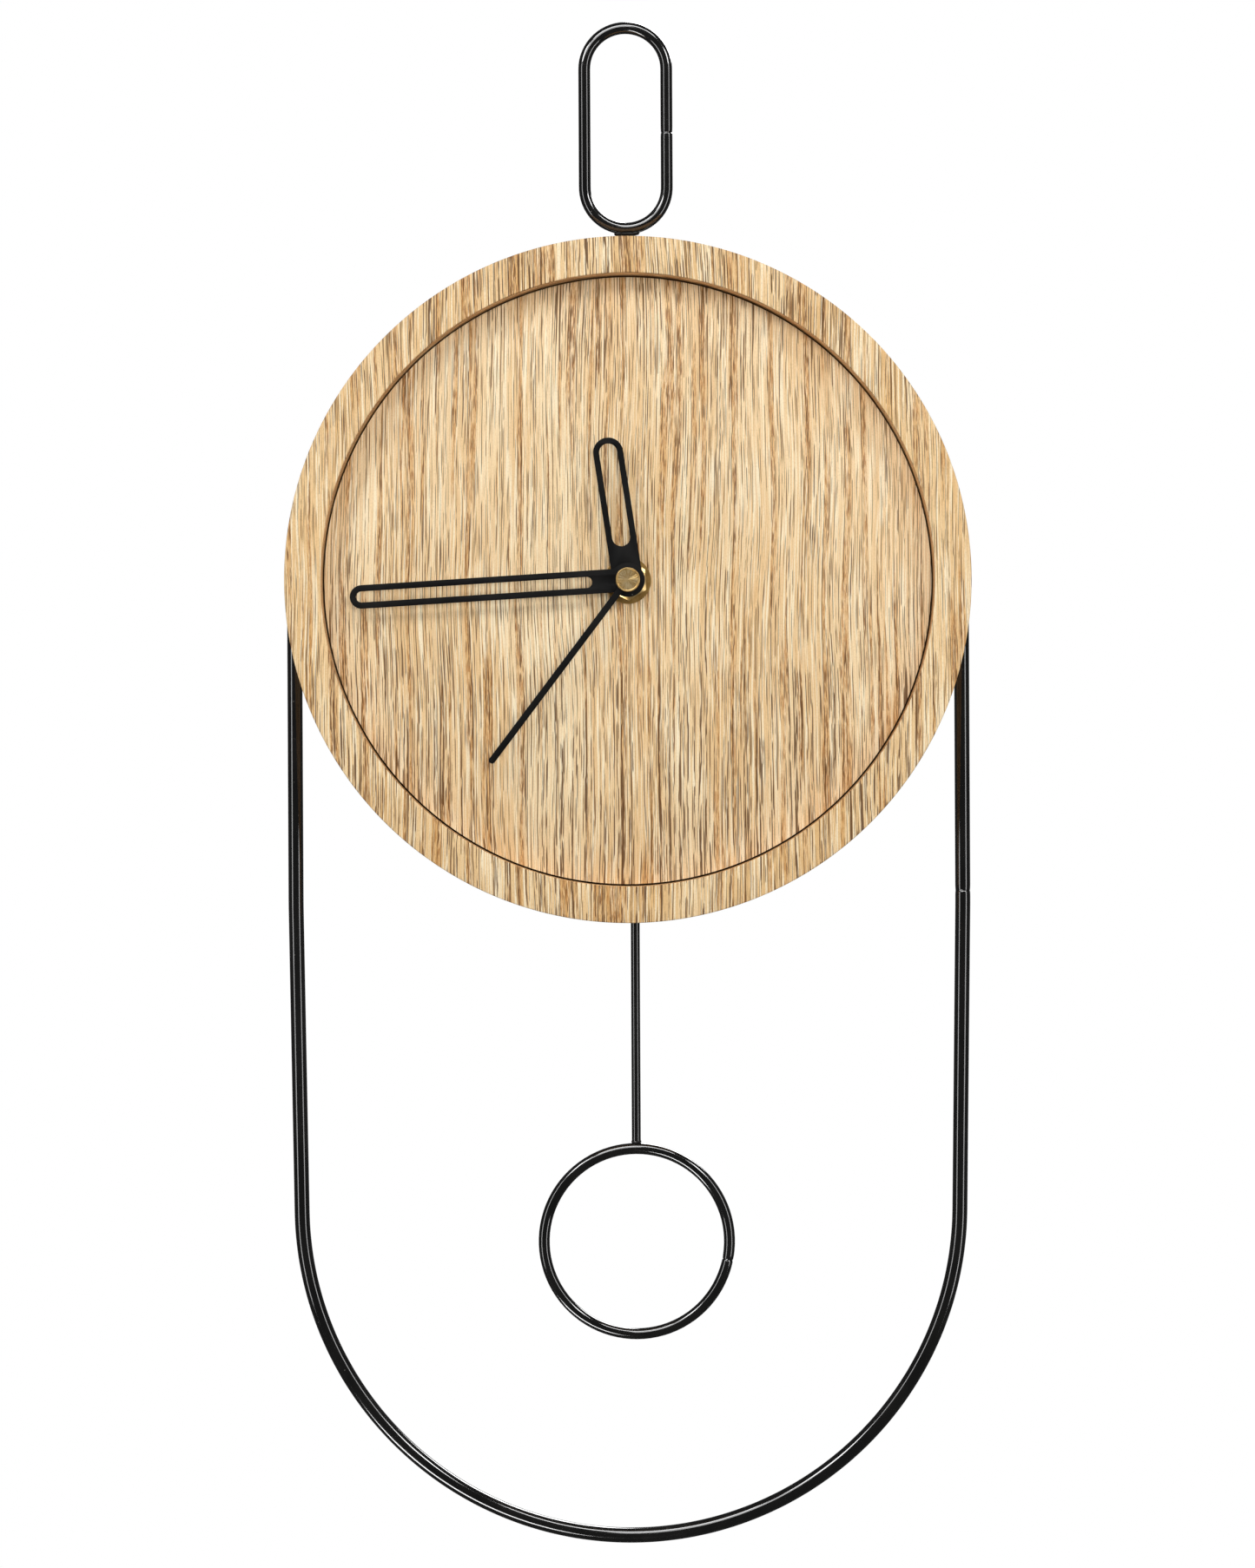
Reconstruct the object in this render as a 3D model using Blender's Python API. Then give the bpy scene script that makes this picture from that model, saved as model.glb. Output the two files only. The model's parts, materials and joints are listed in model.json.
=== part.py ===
"""Pendulum wall clock: an oak disc clock on a bent steel rod frame, with a free pendulum.

Frame: +Z up, the wall is the plane y = 0, the viewer stands at -Y. The origin is the point
where the wall nail carries the hanging loop: the top of the loop's inner edge, at the wall.
All lengths are in metres. Local heights in the movement are measured from the hand shaft.
"""
import math

import bmesh
import bpy
from mathutils import Vector

GAP = 0.0003                       # left between pieces that touch on the real clock

# Rods of the frame, all bent from round steel bar
LOOP_ROD = 0.0022                  # radius of the hanging loop's bar
LOOP_HALF_WIDTH = 0.01535          # bar centre to the loop's centre line
LOOP_HEIGHT = 0.0748               # bar centre to bar centre
FRAME_ROD = 0.0028                 # radius of the frame's bar
FRAME_HALF_WIDTH = 0.1240
FRAME_BEND_DEPTH = 0.1212          # from the upper arc's centre down to where the legs lean in
LOWER_ARC_RADIUS = 0.1222
LOWER_ARC_DEPTH = 0.2341           # from the upper arc's centre to the lower arc's centre
ROD_Y = -FRAME_ROD                 # the frame's bar lies against the wall

# Wooden disc
DISC_RADIUS = 0.125
BORE_RADIUS = 0.1117               # front opening of the ring
SHOULDER_RADIUS = 0.1025           # narrower bore behind the dial plate
DISC_FRONT_Y = -0.034
DISC_BACK_Y = -0.006
DIAL_RADIUS = 0.1111
DIAL_FRONT_Y = -0.025
DIAL_BACK_Y = -0.021
EDGE_CHAMFER = 0.0005
DISC_DROP = 0.0026                 # disc centre below the centre of the frame's upper arc
ROUND_STEPS = 80

# Hands, as angles clockwise from twelve seen from the front
HOUR_ANGLE = math.radians(351.5)
MINUTE_ANGLE = math.radians(266.6)
SECOND_ANGLE = math.radians(217.2)
HAND_THICKNESS = 0.0004
HAND_HUB = 0.0062
HOUR_Y = -0.0301
HOUR_LENGTH = 0.0525
HOUR_HALF_WIDTH = 0.0055
HOUR_STROKE = 0.0022               # metal left beside the slot
HOUR_SLOT_START = 0.0125
HOUR_BORE = 0.0028
MINUTE_Y = -0.0313
MINUTE_LENGTH = 0.1015
MINUTE_HALF_WIDTH = 0.0043
MINUTE_STROKE = 0.0023
MINUTE_SLOT_START = 0.0130
MINUTE_BORE = 0.0019
SECOND_Y = -0.0323
SECOND_LENGTH = 0.0823
SECOND_HALF_WIDTH = 0.0012
SECOND_HUB = 0.0030
SECOND_BORE = 0.0013
CAP_RADIUS = 0.0044
CAP_SOCKET = 0.00075

# Bush, nut and washers that hold the movement to the dial plate
BUSH_RADIUS = 0.00395
BUSH_BORE = 0.0028
BUSH_FLANGE = 0.0060
BUSH_HOLE = 0.00425                # hole for the bush in the plate, the washers and the case
NUT_CORNER_RADIUS = 0.0075
NUT_TURN = math.radians(-88)
NUT_FRONT_Y = -0.0281
NUT_BACK_Y = -0.0261
WASHER_RADIUS = 0.0085
WASHER_FRONT_Y = -0.0258
WASHER_BACK_Y = -0.0253
PAD_RADIUS = 0.010
PAD_BORE = 0.0063
PAD_FRONT_Y = -0.0207
PAD_BACK_Y = -0.0197

# Screws
PILOT_RADIUS = 0.0019
PILOT_DEPTH = 0.014
WOOD_SCREW_HEAD = 0.0035
WOOD_SCREW_HEAD_HEIGHT = 0.0020
WOOD_SCREW_SHANK = 0.0016
WOOD_SCREW_DEPTH = 0.0130
COVER_SCREW_HEAD = 0.0019
COVER_SCREW_HEAD_HEIGHT = 0.0012
COVER_SCREW_SHANK = 0.0009
COVER_SCREW_END_Y = -0.0120

# Pendulum
PENDULUM_X = 0.0021                # the drive unit sits a little right of the hand shaft
PENDULUM_Y = -0.0080
PIVOT_DROP = 0.041                 # pivot pin below the hand shaft
PENDULUM_ROD = 0.00165
RING_ROD = 0.00205
RING_RADIUS = 0.0344
RING_DROP = 0.2437                 # ring centre below the hand shaft
HOOK_RADIUS = 0.0033
HOOK_DROP = 0.067

# Movement case
CASE_HALF_WIDTH = 0.029
CASE_TOP = 0.022
CASE_BOTTOM = -0.060
CASE_FRONT_Y = -0.0194
CASE_FLOOR_Y = -0.0184
CASE_RIM_Y = -0.0050
COVER_FRONT_Y = -0.0047
COVER_BACK_Y = -0.0034
SOCKET_DEPTH = 0.0005
KNOB_RADIUS = 0.0055
KNOB_FLUTE = 0.06                  # depth of the knob's flutes, as a share of its radius
KNOB_FRONT_Y = -0.0031
KNOB_BACK_Y = -0.0013

# Places worked out from the above
LOOP_TOP_Z = LOOP_ROD
LOOP_BOTTOM_Z = LOOP_TOP_Z - LOOP_HEIGHT
UPPER_ARC_Z = LOOP_BOTTOM_Z - LOOP_ROD - GAP - FRAME_ROD - FRAME_HALF_WIDTH
SHAFT_Z = UPPER_ARC_Z - DISC_DROP
PIVOT_Z = SHAFT_Z - PIVOT_DROP
RING_Z = SHAFT_Z - RING_DROP

# Wheels: teeth, module and where each arbor stands from the hand shaft (x, z)
FINE = 0.00036
ARBOR = 0.0005
SOCKET = 0.0008
THIRD_MESH = 34 * FINE                       # 8 teeth into 60
CENTRE_MODULE = THIRD_MESH / 36              # 8 teeth into 64 on the same centres
SECONDS_MODULE = 0.00043
MOTION_MODULE = 0.0005
HOUR_MODULE = MOTION_MODULE * 24 / 25


# ---------------------------------------------------------------- helpers

def clear_scene():
    """Remove every object that the file starts with."""
    for old in list(bpy.data.objects):
        bpy.data.objects.remove(old, do_unlink=True)


def make_material(name, colour, roughness, metallic=0.0):
    """A plain Principled material."""
    material = bpy.data.materials.new(name)
    material.use_nodes = True
    shader = material.node_tree.nodes["Principled BSDF"]
    shader.inputs["Base Color"].default_value = (*colour, 1.0)
    shader.inputs["Roughness"].default_value = roughness
    shader.inputs["Metallic"].default_value = metallic
    return material


def add_object(name, data, material, parent=None):
    """Link an object, give it its material and hang it on its parent empty."""
    thing = bpy.data.objects.new(name, data)
    bpy.context.scene.collection.objects.link(thing)
    data.materials.append(material)
    if parent:
        thing.parent = parent
        thing.matrix_parent_inverse.translation = -parent.location
    return thing


def add_pivot(name, x, z):
    """An empty on a joint's axis."""
    empty = bpy.data.objects.new(name, None)
    empty.empty_display_size = 0.01
    empty.location = (x, 0.0, z)
    bpy.context.scene.collection.objects.link(empty)
    return empty


def smooth_by_angle(mesh, degrees=35.0):
    """Shade round walls smooth and keep real edges crisp."""
    mesh.shade_smooth()
    mesh.set_sharp_from_angle(angle=math.radians(degrees))


def mesh_from(bm, name):
    """Close a bmesh into a mesh with its faces pointing out."""
    bmesh.ops.recalc_face_normals(bm, faces=bm.faces)
    mesh = bpy.data.meshes.new(name)
    bm.to_mesh(mesh)
    bm.free()
    smooth_by_angle(mesh)
    return mesh


def circle(radius, x=0.0, z=SHAFT_Z, steps=24):
    """A round outline in the x-z plane."""
    turns = [2 * math.pi * i / steps for i in range(steps)]
    return [(x + radius * math.cos(t), z + radius * math.sin(t)) for t in turns]


def polygon(radius, sides, x=0.0, z=SHAFT_Z, start=0.0):
    """A regular outline with its first corner at the start angle."""
    turns = [start + 2 * math.pi * i / sides for i in range(sides)]
    return [(x + radius * math.cos(t), z + radius * math.sin(t)) for t in turns]


def rectangle(x0, x1, z0, z1):
    """A box outline."""
    return [(x0, z0), (x1, z0), (x1, z1), (x0, z1)]


def rounded_rectangle(x0, x1, z0, z1, radius, steps=4):
    """A box outline with round corners."""
    corners = [(x1 - radius, z1 - radius, 0), (x0 + radius, z1 - radius, 90),
               (x0 + radius, z0 + radius, 180), (x1 - radius, z0 + radius, 270)]
    points = []
    for cx, cz, start in corners:
        for i in range(steps + 1):
            t = math.radians(start + 90 * i / steps)
            points.append((cx + radius * math.cos(t), cz + radius * math.sin(t)))
    return points


def stadium(length_from, length_to, half_width, steps=8):
    """A slot outline along +z: straight sides and round ends, before it is turned."""
    points = []
    for i in range(steps + 1):
        t = math.pi * i / steps
        points.append((half_width * math.cos(t), length_to + half_width * math.sin(t)))
    for i in range(steps + 1):
        t = math.pi + math.pi * i / steps
        points.append((half_width * math.cos(t), length_from + half_width * math.sin(t)))
    return points


def turned_clockwise(points, angle, x=0.0, z=SHAFT_Z):
    """Turn an outline clockwise as seen from the front, then move it to its centre."""
    c, s = math.cos(angle), math.sin(angle)
    return [(x + px * c + pz * s, z - px * s + pz * c) for px, pz in points]


def strip_outline(points, thickness):
    """The outline of a thin strip that follows an open line in the x-z plane."""
    left, right = [], []
    for i, point in enumerate(points):
        before = Vector(points[max(i - 1, 0)])
        after = Vector(points[min(i + 1, len(points) - 1)])
        across = (after - before).normalized().orthogonal() * thickness / 2
        left.append(tuple(Vector(point) + across))
        right.append(tuple(Vector(point) - across))
    return left + right[::-1]


def add_ring(bm, outline, y):
    """Vertices of one outline at one depth."""
    return [bm.verts.new((x, y, z)) for x, z in outline]


def ring_edges(bm, ring):
    """The closed chain of edges through a ring of vertices."""
    edges = []
    for a, b in zip(ring, ring[1:] + ring[:1]):
        edges.append(bm.edges.get((a, b)) or bm.edges.new((a, b)))
    return edges


def stacked(name, depths, layers):
    """A solid of flat layers along y: layer i lies between depths[i] and depths[i + 1].

    Each layer is a list of outlines, and material lies inside an odd number of them. An
    outline that two layers share runs straight through, and the step between two layers
    is closed where their outlines differ.
    """
    bm = bmesh.new()
    open_rings = {}
    for i, layer in enumerate(layers):
        here = {id(outline): outline for outline in layer}
        rings = {}
        step_edges = []
        for key, outline in here.items():
            if key in open_rings:
                rings[key] = open_rings[key]
            else:
                rings[key] = add_ring(bm, outline, depths[i])
                step_edges += ring_edges(bm, rings[key])
        for key, ring in open_rings.items():
            if key not in here:
                step_edges += ring_edges(bm, ring)
        bmesh.ops.triangle_fill(bm, use_beauty=True, edges=step_edges, normal=(0, 1, 0))
        open_rings = {}
        for key, outline in here.items():
            far = add_ring(bm, outline, depths[i + 1])
            near = rings[key]
            for a, b, c, d in zip(near, near[1:] + near[:1], far[1:] + far[:1], far):
                bm.faces.new((a, b, c, d))
            open_rings[key] = far
    last_edges = []
    for ring in open_rings.values():
        last_edges += ring_edges(bm, ring)
    bmesh.ops.triangle_fill(bm, use_beauty=True, edges=last_edges, normal=(0, 1, 0))
    return mesh_from(bm, name)


def lathed(name, profile, x=0.0, z=SHAFT_Z, steps=24, axis="Y"):
    """Spin a closed half section of (radius, distance along the axis) points.

    The axis is parallel to Y through (x, z), or parallel to X through the shaft's plane,
    where x then is the depth y of the axis.
    """
    bm = bmesh.new()
    if axis == "Y":
        centre, direction = Vector((x, 0, z)), Vector((0, 1, 0))
        points = [Vector((x + radius, along, z)) for radius, along in profile]
    else:
        centre, direction = Vector((0, x, z)), Vector((1, 0, 0))
        points = [Vector((along, x, z + radius)) for radius, along in profile]
    verts = [bm.verts.new(point) for point in points]
    edges = [bm.edges.new(pair) for pair in zip(verts, verts[1:] + verts[:1])]
    bmesh.ops.spin(bm, geom=verts + edges, cent=centre, axis=direction,
                   angle=2 * math.pi, steps=steps, use_duplicate=False, use_merge=False)
    bmesh.ops.remove_doubles(bm, verts=bm.verts, dist=1e-6)
    bmesh.ops.dissolve_degenerate(bm, dist=1e-7, edges=bm.edges)
    inner = [f for f in bm.faces if f.calc_area() < 1e-14]
    bmesh.ops.delete(bm, geom=inner, context="FACES")
    loose = [e for e in bm.edges if not e.link_faces]
    bmesh.ops.delete(bm, geom=loose, context="EDGES")
    return mesh_from(bm, name)


def rod(name, points, radius, material, cyclic=False, resolution=2, parent=None):
    """A bent round bar: a poly curve with a round bevel and filled ends."""
    curve = bpy.data.curves.new(name, "CURVE")
    curve.dimensions = "3D"
    curve.twist_mode = "MINIMUM"
    curve.bevel_depth = radius
    curve.bevel_resolution = resolution
    curve.use_fill_caps = not cyclic
    spline = curve.splines.new("POLY")
    spline.points.add(len(points) - 1)
    for slot, point in zip(spline.points, points):
        slot.co = (*point, 1.0)
    spline.use_cyclic_u = cyclic
    spline.use_smooth = True
    return add_object(name, curve, material, parent)


def cut(target, cutter_mesh, label):
    """Cut a closed shape out of an object with a Boolean."""
    cutter = bpy.data.objects.new(label, cutter_mesh)
    bpy.context.scene.collection.objects.link(cutter)
    cutter.hide_render = True
    cutter.display_type = "WIRE"
    boolean = target.modifiers.new(label, "BOOLEAN")
    boolean.operation = "DIFFERENCE"
    boolean.object = cutter


def arc(radius, start, end, x, z, y, steps):
    """Points of an arc in the x-z plane, angles in degrees from +x, both ends included."""
    points = []
    for i in range(steps + 1):
        t = math.radians(start + (end - start) * i / steps)
        points.append((x + radius * math.cos(t), y, z + radius * math.sin(t)))
    return points


# ---------------------------------------------------------------- gear outlines

def gear_outline(teeth, module, phase=0.0, x=0.0, z=SHAFT_Z):
    """A toothed outline with slim teeth, which leaves the backlash of a moulded wheel."""
    pitch_radius = teeth * module / 2
    quarter = math.pi / (2 * teeth)
    slim = 0.62 if teeth > 16 else 0.56
    tip = pitch_radius + module * 0.75
    root = pitch_radius - module * 1.15
    points = []
    for i in range(teeth):
        middle = phase + 2 * math.pi * i / teeth
        for radius, offset in ((root, -1.45), (tip, -0.55), (tip, 0.55), (root, 1.45)):
            t = middle + offset * slim * quarter
            points.append((x + radius * math.cos(t), z + radius * math.sin(t)))
    return points


def meshed_phase(driver_teeth, driver_phase, driven_teeth, direction):
    """Phase of a wheel whose gap meets the driver's tooth, along the line of centres."""
    driver_pitch = 2 * math.pi / driver_teeth
    driven_pitch = 2 * math.pi / driven_teeth
    share = ((direction - driver_phase) / driver_pitch) % 1.0
    return direction + math.pi + (share - 0.5) * driven_pitch


# Where the wheels stand, from the hand shaft
THIRD_DIRECTION = math.radians(40)
INTERMEDIATE_DIRECTION = math.radians(150)
ROTOR_DIRECTION = math.radians(100)
MINUTE_WHEEL_DIRECTION = math.radians(215)
THIRD_X = THIRD_MESH * math.cos(THIRD_DIRECTION)
THIRD_Z = SHAFT_Z + THIRD_MESH * math.sin(THIRD_DIRECTION)
INTERMEDIATE_X = 28 * SECONDS_MODULE * math.cos(INTERMEDIATE_DIRECTION)
INTERMEDIATE_Z = SHAFT_Z + 28 * SECONDS_MODULE * math.sin(INTERMEDIATE_DIRECTION)
ROTOR_X = INTERMEDIATE_X + 24 * FINE * math.cos(ROTOR_DIRECTION)
ROTOR_Z = INTERMEDIATE_Z + 24 * FINE * math.sin(ROTOR_DIRECTION)
MINUTE_WHEEL_X = 24 * MOTION_MODULE * math.cos(MINUTE_WHEEL_DIRECTION)
MINUTE_WHEEL_Z = SHAFT_Z + 24 * MOTION_MODULE * math.sin(MINUTE_WHEEL_DIRECTION)
SOCKETS = [(THIRD_X, THIRD_Z), (INTERMEDIATE_X, INTERMEDIATE_Z), (ROTOR_X, ROTOR_Z)]
CASE_SCREWS = [(side * 0.0258, SHAFT_Z + height) for side in (-1, 1)
               for height in (CASE_TOP - 0.0032, CASE_BOTTOM + 0.0032)]


# ---------------------------------------------------------------- frame and disc

def frame_path():
    """Centre line of the frame: half circle, parallel legs, legs leaning in, lower arc."""
    lower_z = UPPER_ARC_Z - LOWER_ARC_DEPTH
    bend_z = UPPER_ARC_Z - FRAME_BEND_DEPTH
    reach = math.hypot(FRAME_HALF_WIDTH, bend_z - lower_z)
    rise = math.degrees(math.atan2(bend_z - lower_z, FRAME_HALF_WIDTH))
    touch = rise - math.degrees(math.acos(LOWER_ARC_RADIUS / reach))
    points = arc(FRAME_HALF_WIDTH, 0, 180, 0, UPPER_ARC_Z, ROD_Y, 36)
    points.append((-FRAME_HALF_WIDTH, ROD_Y, bend_z))
    points += arc(LOWER_ARC_RADIUS, 180 - touch, 360 + touch, 0, lower_z, ROD_Y, 36)
    points.append((FRAME_HALF_WIDTH, ROD_Y, bend_z))
    return points


def build_frame(steel):
    """The frame's closed bar and the small loop that hangs it on the nail."""
    rod("wire_frame", frame_path(), FRAME_ROD, steel, cyclic=True, resolution=3)
    top = LOOP_TOP_Z - LOOP_HALF_WIDTH
    bottom = LOOP_BOTTOM_Z + LOOP_HALF_WIDTH
    points = arc(LOOP_HALF_WIDTH, 0, 180, 0, top, ROD_Y, 12)
    points += arc(LOOP_HALF_WIDTH, 180, 360, 0, bottom, ROD_Y, 12)
    rod("hanging_loop", points, LOOP_ROD, steel, cyclic=True, resolution=3)


TAB_REACH = 0.0070                 # from a tab's screw to its inner end
TAB_HALF_WIDTH = 0.0060
TAB_FRONT_Y = DISC_BACK_Y + GAP
TAB_BACK_Y = TAB_FRONT_Y + 0.0015
BAR_SIDE = FRAME_ROD + 3 * GAP     # bar's centre line to a tab's outer end


def tab_places():
    """Screw point, outward direction and length past the screw for each tab."""
    screw_circle, upper_turn = 0.1115, math.radians(42)
    side_x, side_drop = 0.1085, 0.028
    shift = DISC_DROP * math.sin(upper_turn)
    across = DISC_DROP * math.cos(upper_turn)
    bar = shift + math.sqrt(FRAME_HALF_WIDTH ** 2 - across ** 2)
    places = {}
    for side, word in ((-1, "left"), (1, "right")):
        outward = Vector((side * math.cos(upper_turn), math.sin(upper_turn)))
        screw = Vector((0, SHAFT_Z)) + outward * screw_circle
        places[f"upper_{word}"] = (screw, outward, bar - BAR_SIDE - screw_circle)
        screw = Vector((side * side_x, SHAFT_Z - side_drop))
        places[f"lower_{word}"] = (screw, Vector((side, 0)), FRAME_HALF_WIDTH - BAR_SIDE - side_x)
    return places


def build_tabs(steel, zinc):
    """Four flat tabs from the frame's bar to the ring's back, and their wood screws."""
    for place, (screw, outward, reach) in tab_places().items():
        across = Vector((-outward.y, outward.x)) * TAB_HALF_WIDTH
        inner, outer = screw - outward * TAB_REACH, screw + outward * reach
        corners = [tuple(p) for p in (inner - across, outer - across, outer + across,
                                      inner + across)]
        hole = circle(0.0021, screw.x, screw.y, 16)
        mesh = stacked(f"mounting_tab_{place}", (TAB_FRONT_Y, TAB_BACK_Y), [[corners, hole]])
        add_object(f"mounting_tab_{place}", mesh, steel)
        add_object(f"tab_screw_{place}", wood_screw(screw.x, screw.y), zinc)


def wood_screw(x, z):
    """A pan head screw whose shank runs into the ring's pilot hole."""
    seat = TAB_BACK_Y + GAP
    rim, crown = 0.35 * WOOD_SCREW_HEAD_HEIGHT, 0.85 * WOOD_SCREW_HEAD_HEIGHT
    tip_y = DISC_BACK_Y - WOOD_SCREW_DEPTH
    head = [(0, seat), (WOOD_SCREW_HEAD, seat), (WOOD_SCREW_HEAD, seat + rim),
            (WOOD_SCREW_HEAD - 0.0008, seat + crown), (0, seat + WOOD_SCREW_HEAD_HEIGHT)]
    shank = [(0, tip_y), (WOOD_SCREW_SHANK, tip_y + 0.0020), (WOOD_SCREW_SHANK, seat)]
    return lathed("wood_screw", shank + head[1:], x, z, 16)


def build_ring(oak):
    """The wooden ring: front bore, shoulder behind the dial, screw holes, pendulum notch."""
    c = EDGE_CHAMFER
    shoulder_y = DIAL_BACK_Y + GAP
    profile = [(DISC_RADIUS, DISC_BACK_Y), (DISC_RADIUS, DISC_FRONT_Y + c),
               (DISC_RADIUS - c, DISC_FRONT_Y), (BORE_RADIUS + c, DISC_FRONT_Y),
               (BORE_RADIUS, DISC_FRONT_Y + c), (BORE_RADIUS, shoulder_y),
               (SHOULDER_RADIUS, shoulder_y), (SHOULDER_RADIUS, DISC_BACK_Y)]
    ring = add_object("wood_ring", lathed("wood_ring", profile, steps=ROUND_STEPS), oak)
    for place, (screw, _, _) in tab_places().items():
        outline = circle(PILOT_RADIUS, screw.x, screw.y, 12)
        hole = stacked("pilot", (DISC_BACK_Y - PILOT_DEPTH, 0.0), [[outline]])
        cut(ring, hole, f"cutter_pilot_{place}")
    half, depth = 0.016, 0.0055    # room for the pendulum's rod to swing
    notch = rectangle(PENDULUM_X - half, PENDULUM_X + half, SHAFT_Z - 0.14, SHAFT_Z - 0.09)
    cut(ring, stacked("notch", (DISC_BACK_Y - depth, 0.0), [[notch]]), "cutter_notch")


def build_dial(oak):
    """The veneered dial plate with the hole for the threaded bush."""
    layers = [[circle(DIAL_RADIUS, steps=ROUND_STEPS), circle(BUSH_HOLE)]]
    mesh = stacked("dial_plate", (DIAL_FRONT_Y, DIAL_BACK_Y), layers)
    add_object("dial_plate", mesh, oak)


# ---------------------------------------------------------------- hands and fixings

def build_fixings(brass, rubber):
    """Bush, nut and washers that clamp the movement to the dial plate."""
    front, back = -0.0290, -0.0187
    flange_front, flange_back = PAD_FRONT_Y + GAP, PAD_BACK_Y
    bush = [(BUSH_BORE, front), (BUSH_RADIUS - 0.00035, front), (BUSH_RADIUS, front + GAP),
            (BUSH_RADIUS, flange_front), (BUSH_FLANGE, flange_front), (BUSH_FLANGE, flange_back),
            (BUSH_RADIUS, flange_back), (BUSH_RADIUS, back), (BUSH_BORE, back)]
    add_object("threaded_bush", lathed("threaded_bush", bush), brass)
    nut_layer = [polygon(NUT_CORNER_RADIUS, 6, start=NUT_TURN), circle(BUSH_HOLE)]
    nut = stacked("fixing_nut", (NUT_FRONT_Y, NUT_BACK_Y), [nut_layer])
    add_object("fixing_nut", nut, brass)
    layer = [circle(WASHER_RADIUS, steps=32), circle(BUSH_HOLE)]
    washer = stacked("fixing_washer", (WASHER_FRONT_Y, WASHER_BACK_Y), [layer])
    add_object("fixing_washer", washer, brass)
    layer = [circle(PAD_RADIUS), circle(PAD_BORE)]
    pad = stacked("rubber_washer", (PAD_FRONT_Y, PAD_BACK_Y), [layer])
    add_object("rubber_washer", pad, rubber)


def slotted_hand(name, y, angle, length, half_width, stroke, slot_start, bore):
    """A flat pressed hand: round tip, long slot, round hub with a hole for its pipe."""
    half_hub_angle = math.asin(half_width / HAND_HUB)
    outline = []
    for i in range(13):
        t = math.pi * i / 12
        reach = length - half_width
        outline.append((half_width * math.cos(t), reach + half_width * math.sin(t)))
    start = math.pi / 2 + half_hub_angle
    for i in range(21):
        t = start + (2 * math.pi - 2 * half_hub_angle) * i / 20
        outline.append((HAND_HUB * math.cos(t), HAND_HUB * math.sin(t)))
    slot_half = half_width - stroke
    slot = stadium(slot_start + slot_half, length - half_width, slot_half)
    layer = [turned_clockwise(outline, angle), turned_clockwise(slot, angle), circle(bore)]
    return stacked(name, (y, y + HAND_THICKNESS), [layer])


def build_hands(black, brass, pivots):
    """Hour, minute and second hands with the brass cap."""
    hour = slotted_hand("hour_hand", HOUR_Y, HOUR_ANGLE, HOUR_LENGTH, HOUR_HALF_WIDTH,
                        HOUR_STROKE, HOUR_SLOT_START, HOUR_BORE)
    add_object("hour_hand", hour, black, pivots["hour"])
    minute = slotted_hand("minute_hand", MINUTE_Y, MINUTE_ANGLE, MINUTE_LENGTH,
                          MINUTE_HALF_WIDTH, MINUTE_STROKE, MINUTE_SLOT_START, MINUTE_BORE)
    add_object("minute_hand", minute, black, pivots["minute"])
    layer = [second_hand_outline(), circle(SECOND_BORE)]
    mesh = stacked("second_hand", (SECOND_Y, SECOND_Y + HAND_THICKNESS), [layer])
    add_object("second_hand", mesh, black, pivots["second"])
    seat = SECOND_Y - GAP
    end = SECOND_Y + HAND_THICKNESS + GAP
    face = seat - 0.0008
    lip = CAP_RADIUS - 0.0007
    cap = [(0, face), (0.0012, face - 0.0002), (lip - GAP, face), (lip, seat - 0.0012),
           (CAP_RADIUS, seat - 0.0010), (CAP_RADIUS, seat), (0.0010, seat), (0.0010, end),
           (CAP_SOCKET, end), (CAP_SOCKET, seat - 0.0002), (0, seat - 0.0002)]
    add_object("second_hand_cap", lathed("second_hand_cap", cap), brass,
               pivots["second"])


def second_hand_outline():
    """A slim blade on a small round hub."""
    lean = math.asin(SECOND_HALF_WIDTH / SECOND_HUB)
    outline = []
    for i in range(9):
        t = math.pi * i / 8
        outline.append((SECOND_HALF_WIDTH * math.cos(t),
                        SECOND_LENGTH + SECOND_HALF_WIDTH * math.sin(t)))
    for i in range(17):
        t = math.pi / 2 + lean + (2 * math.pi - 2 * lean) * i / 16
        outline.append((SECOND_HUB * math.cos(t), SECOND_HUB * math.sin(t)))
    return turned_clockwise(outline, SECOND_ANGLE)


# ---------------------------------------------------------------- movement

def corner_notched(x, z0, z1, notch_top, notch_bottom):
    """A pocket outline with square notches left for the screw bosses."""
    n = 0.0058
    points = []
    if notch_bottom:
        points += [(-x, z0 + n), (-x + n, z0 + n), (-x + n, z0), (x - n, z0),
                   (x - n, z0 + n), (x, z0 + n)]
    else:
        points += [(-x, z0), (x, z0)]
    if notch_top:
        points += [(x, z1 - n), (x - n, z1 - n), (x - n, z1), (-x + n, z1),
                   (-x + n, z1 - n), (-x, z1 - n)]
    else:
        points += [(x, z1), (-x, z1)]
    return points


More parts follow.
